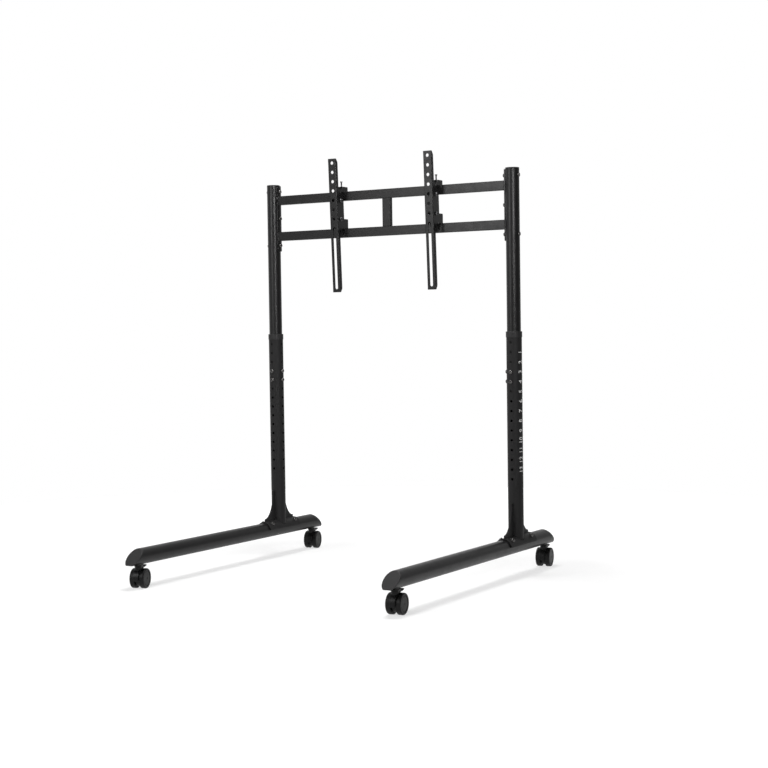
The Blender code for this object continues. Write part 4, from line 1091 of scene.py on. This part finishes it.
def caster_housing(name, x, y):
    """Web, hood, neck with its bearing cap, cheeks for the pedal, and axle."""
    web_half = CASTER_WIDTH / 2 - WHEEL_WIDTH - GAP
    web = rod(WEB_RADIUS, -web_half, web_half, ROUND, WEB_EDGE)
    clear = WHEEL_RADIUS + FENDER_GAP
    fan = [(0, 0)] + arc(clear + FENDER_WALL / 2, pi / 2, pi, 20)
    fan = softened(side_on(prism(fan, -web_half * 0.9, web_half * 0.9)), EDGE)
    neck = lathe([(NECK_RADIUS - NECK_STEP, NECK_BOTTOM),
                  (NECK_RADIUS - NECK_STEP, NECK_TOP - NECK_CAP_HEIGHT - SOFT_EDGE),
                  (NECK_RADIUS, NECK_TOP - NECK_CAP_HEIGHT), (NECK_RADIUS, NECK_TOP - SOFT_EDGE),
                  (NECK_RADIUS - SOFT_EDGE, NECK_TOP)], SMALL_ROUND)
    cheeks = block((-CHEEK_WIDTH / 2, 0, PEDAL_Z - PEDAL_BARREL - PEDAL_MARGIN),
                   (CHEEK_WIDTH / 2, PEDAL_BACK + PEDAL_BARREL, NECK_TOP - 2 * PEDAL_MARGIN), SOFT_EDGE)
    slot = PEDAL_ROOT + GAP
    for part in (neck, cheeks):
        for low, high in ((-CASTER_WIDTH, -web_half), (web_half, CASTER_WIDTH)):
            cut(part, at_axle(rod(clear, low, high, WIDE_ROUND)))
        cut(part, block((-slot, PEDAL_BACK - PEDAL_BARREL - GAP, PEDAL_Z - PEDAL_BARREL - GAP),
                        (slot, CASTER_WIDTH, LEG_UNDERSIDE), TINY_EDGE))
    pin_end = CHEEK_WIDTH / 2 - PEDAL_MARGIN
    pin = shifted(rod(PEDAL_PIN, -pin_end, pin_end, PIN_ROUND), y=PEDAL_BACK, z=PEDAL_Z)
    axle_end = CASTER_WIDTH / 2 - AXLE_CAP_WALL - GAP
    axle = at_axle(rod(AXLE_RADIUS, -axle_end, axle_end))
    housing = swivelled(joined(at_axle(web), fender(), at_axle(fan), neck, cheeks, pin, axle), name, x, y)
    piece(housing, f"{name}_caster_housing", f"{name}_caster", CASTER_PLASTIC)


def caster_wheel(name, side, x, y):
    """A wheel with a round-shouldered tread, a rim line and a dished face."""
    outer = CASTER_WIDTH / 2
    inner = outer - WHEEL_WIDTH
    cap = outer - AXLE_CAP_WALL - TINY_EDGE
    dish = outer - WHEEL_DISH_DEPTH
    groove = outer - WHEEL_GROOVE_DEPTH
    back = inner + WHEEL_BACK_DEPTH
    hollow_low, hollow_high = WHEEL_BACK_DISH
    profile = [(SMALL_EDGE, dish - WHEEL_EYE_DEPTH), (WHEEL_HUB - THIN_EDGE, dish - THIN_EDGE),
               (WHEEL_HUB, dish), (WHEEL_DISH, dish), (WHEEL_GROOVE[0], groove), (WHEEL_GROOVE[1], groove),
               (WHEEL_GROOVE[1] + SOFT_EDGE, outer - GAP), (WHEEL_FACE, outer)]
    profile += arc(WHEEL_ROUND, pi / 2, 0, 7, (WHEEL_RADIUS - WHEEL_ROUND, outer - WHEEL_ROUND))
    profile += arc(BACK_ROUND, 0, -pi / 2, 4, (WHEEL_RADIUS - BACK_ROUND, inner + BACK_ROUND))
    profile += [(hollow_high, inner), (hollow_high - SOFT_EDGE, back), (hollow_low + 2 * EDGE, back),
                (hollow_low, inner), (AXLE_RADIUS + GAP, inner), (AXLE_RADIUS + GAP, cap), (SMALL_EDGE, cap)]
    wheel = turned(along_x(lathe(profile)), pi if side == "left" else 0)
    swivelled(at_axle(wheel), name, x, y)
    piece(wheel, f"{name}_{side}_wheel", f"{name}_{side}_roller", TREAD)


def brake_pedal(name, x, y):
    """The foot plate with its ribs, hinged behind the neck."""
    root = PEDAL_ROOT
    barrel = rod(PEDAL_BARREL, -root, root, edge=SMALL_EDGE)
    start = PEDAL_BARREL + 2 * GAP + PEDAL_MARGIN
    width = PEDAL_WIDTH / 2
    shoulder = start + PEDAL_MARGIN
    outline = [(-root, PEDAL_MARGIN), (root, PEDAL_MARGIN), (root, start), (width, shoulder),
               (width, PEDAL_LENGTH), (-width, PEDAL_LENGTH), (-width, shoulder), (-root, start)]
    corners = [0, 0, SOFT_EDGE, SOFT_EDGE, PEDAL_CORNER, PEDAL_CORNER, SOFT_EDGE, SOFT_EDGE]
    parts = [softened(prism(fillet(outline, corners, steps=6), -PEDAL_HALF, PEDAL_HALF - THIN_EDGE), EDGE)]
    for k in range(RIB_COUNT):
        along = start + RIB_START + RIB_PITCH * k
        reach = width - (RIB_LAST_INSET if k == RIB_COUNT - 1 else RIB_INSET)
        parts.append(block((-reach, along - RIB_WIDTH / 2, PEDAL_HALF - RIB_DEPTH),
                           (reach, along + RIB_WIDTH / 2, PEDAL_HALF), GAP))
    plate = placed(joined(*parts), Matrix.Rotation(PEDAL_TILT, 4, "X"))
    pedal = swivelled(shifted(joined(barrel, plate), y=PEDAL_BACK, z=PEDAL_Z), name, x, y)
    piece(pedal, f"{name}_brake_pedal", f"{name}_brake", CASTER_PLASTIC)


# Height scale: ticks and plain numbers on the outer side of each sleeve

def wrapped(obj, x, outward):
    """Bends a flat shape in XY (x across, y up) round the sleeve's outer side, a hair proud of it."""
    shape = bmesh.new()
    shape.from_mesh(obj.data)
    bpy.data.objects.remove(obj, do_unlink=True)
    for k in range(-WRAP_STEPS, WRAP_STEPS + 1):
        geometry = shape.verts[:] + shape.edges[:] + shape.faces[:]
        bmesh.ops.bisect_plane(shape, geom=geometry, plane_co=(k * WRAP_STEP, 0, 0), plane_no=(1, 0, 0))
    for vertex in shape.verts:
        angle = vertex.co.x / SLEEVE_RADIUS
        radius = SLEEVE_RADIUS + PAINT + vertex.co.z
        vertex.co = (x + outward * radius * cos(angle), POST_Y + outward * radius * sin(angle),
                     vertex.co.y)
    return from_shape(shape)


def number(text):
    """A plain number that reads up the sleeve, as a flat mesh."""
    drawn = bpy.data.curves.new("number", "FONT")
    drawn.body = text
    drawn.size = SCALE_TEXT
    drawn.align_x = "CENTER"
    drawn.align_y = "CENTER"
    drawn.extrude = PAINT
    drawn.resolution_u = 3
    obj = linked("number", drawn)
    mesh = final_mesh(obj)
    bpy.data.objects.remove(obj, do_unlink=True)
    return turned(linked("number", mesh), pi / 2)


def height_scale(side, x, outward):
    marks = []
    for k in range(1, SCALE_STEPS + 1):
        z = FIRST_HOLE_Z - k * HOLE_PITCH
        marks.append(shifted(number(str(k)), x=SCALE_NUMBER_X, y=z))
        for part in range(SCALE_TICKS):
            end = SCALE_TICK_X + (SCALE_SHORT if part else SCALE_LONG)
            low = z - part * HOLE_PITCH / SCALE_TICKS - SCALE_LINE / 2
            marks.append(prism(rectangle(SCALE_TICK_X, low, end, low + SCALE_LINE), -PAINT, PAINT))
    made = wrapped(joined(*marks), x, outward)
    piece(made, f"{side}_height_scale", "base", WHITE_PAINT, replaces=False)


for side, sign in (("left", -1), ("right", 1)):
    post_x = sign * POST_X
    inner_side = 0 if sign < 0 else pi
    leg_tube(side, post_x)
    lower_post(side, post_x, inner_side)
    sleeve_collar(side, post_x)
    saddle_bolts(side, post_x)
    upper_post(side, post_x)
    post_cap(side, post_x)
    crossbar_bolts(side, post_x, inner_side)
    height_bolts(side, post_x, inner_side)
    height_scale(side, post_x, sign)
    for end in ("front", "rear"):
        leg_cap(side, end, post_x)
        caster = f"{side}_{end}"
        stem_y = sum(corner.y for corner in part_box(f"{caster}_caster_stem")) / 2
        caster_stem(caster, post_x, stem_y)
        caster_housing(caster, post_x, stem_y)
        for wheel_side in ("left", "right"):
            caster_wheel(caster, wheel_side, post_x, stem_y)
        brake_pedal(caster, post_x, stem_y)
crossbar_frame()
crossbar_strut()
for side in ("left", "right"):
    arm_x = sum(corner.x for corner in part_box(f"{side}_hook_bracket")) / 2
    arm_rail(side, arm_x)
    hook_bracket(side, arm_x)
    arm_bolts(side, arm_x)
    lock_screw(side, arm_x)


# Floor, light and camera

def maths(tree, operation, *values):
    """The result of a Math node on sockets or numbers."""
    return added(tree, "Math", dict(enumerate(values)), operation=operation).outputs[0]


def seen_directly(tree, mirrored=1.0):
    """A socket that reads 1 for what the camera sees, mirrored for what gloss and glass show, else 0."""
    path = added(tree, "LightPath", {})
    reflected = maths(tree, "MAXIMUM", path.outputs["Is Glossy Ray"], path.outputs["Is Transmission Ray"])
    dimmed = maths(tree, "MULTIPLY", reflected, mirrored)
    return maths(tree, "MAXIMUM", path.outputs["Is Camera Ray"], dimmed)


def floor():
    """A pale floor that takes the stand's shadow near it and is as white as the backdrop further out."""
    bpy.ops.mesh.primitive_circle_add(vertices=WIDE_ROUND, radius=FLOOR_RADIUS, fill_type="NGON")
    disc = bpy.context.object
    disc.name = "floor"
    made = bpy.data.materials.new("pale_floor")
    made.use_nodes = True
    tree = made.node_tree
    tree.nodes.remove(tree.nodes["Principled BSDF"])
    diffuse = added(tree, "BsdfDiffuse", {"Color": (*FLOOR_COLOUR, 1)})
    place = added(tree, "TexCoord", {}).outputs["Object"]
    away = added(tree, "VectorMath", {0: place}, operation="LENGTH").outputs["Value"]
    level = spread(tree, away, FLOOR_NEAR, FLOOR_FAR, FLOOR_GLOW, 1.0)
    glow = added(tree, "Emission", {"Strength": maths(tree, "MULTIPLY", seen_directly(tree), level)})
    both = added(tree, "AddShader", {0: diffuse.outputs[0], 1: glow.outputs[0]})
    wired(tree, tree.nodes["Material Output"], {"Surface": both.outputs[0]})
    disc.data.materials.append(made)


def studio():
    """A white backdrop behind the stand that gets dim towards the camera, and the lamps."""
    world = bpy.data.worlds.new("studio")
    bpy.context.scene.world = world
    world.use_nodes = True
    tree = world.node_tree
    view = added(tree, "TexCoord", {}).outputs["Generated"]
    facing = added(tree, "VectorMath", {0: view, 1: BACKDROP_SIDE}, operation="DOT_PRODUCT")
    mirrored = spread(tree, facing.outputs["Value"], -1.0, 1.0, STUDIO_DIM, 1.0)
    strength = maths(tree, "MAXIMUM", seen_directly(tree, mirrored), SKY_LEVEL)
    wired(tree, tree.nodes["Background"], {"Color": (1, 1, 1, 1), "Strength": strength})
    for name, place, aim, size, power, spread_angle in LAMPS:
        data = bpy.data.lights.new(name, "AREA")
        data.shape = "RECTANGLE"
        data.size, data.size_y = size
        data.energy = power
        data.spread = radians(spread_angle)
        lamp = linked(name, data)
        lamp.location = place
        lamp.rotation_euler = (Vector(aim) - Vector(place)).to_track_quat("-Z", "Y").to_euler()


def camera():
    data = bpy.data.cameras.new("camera")
    data.sensor_width = SENSOR
    data.lens = SENSOR * FOCAL_PIXELS / IMAGE_SIZE
    eye = linked("camera", data)
    turn = (Matrix.Rotation(CAMERA_AZIMUTH, 4, "Z") @ Matrix.Rotation(pi / 2 - CAMERA_DROP, 4, "X")
            @ Matrix.Rotation(CAMERA_ROLL, 4, "Z"))
    eye.matrix_world = Matrix.Translation(CAMERA_PLACE) @ turn
    bpy.context.scene.camera = eye


floor()
studio()
camera()
bpy.context.scene.view_settings.view_transform = "Standard"
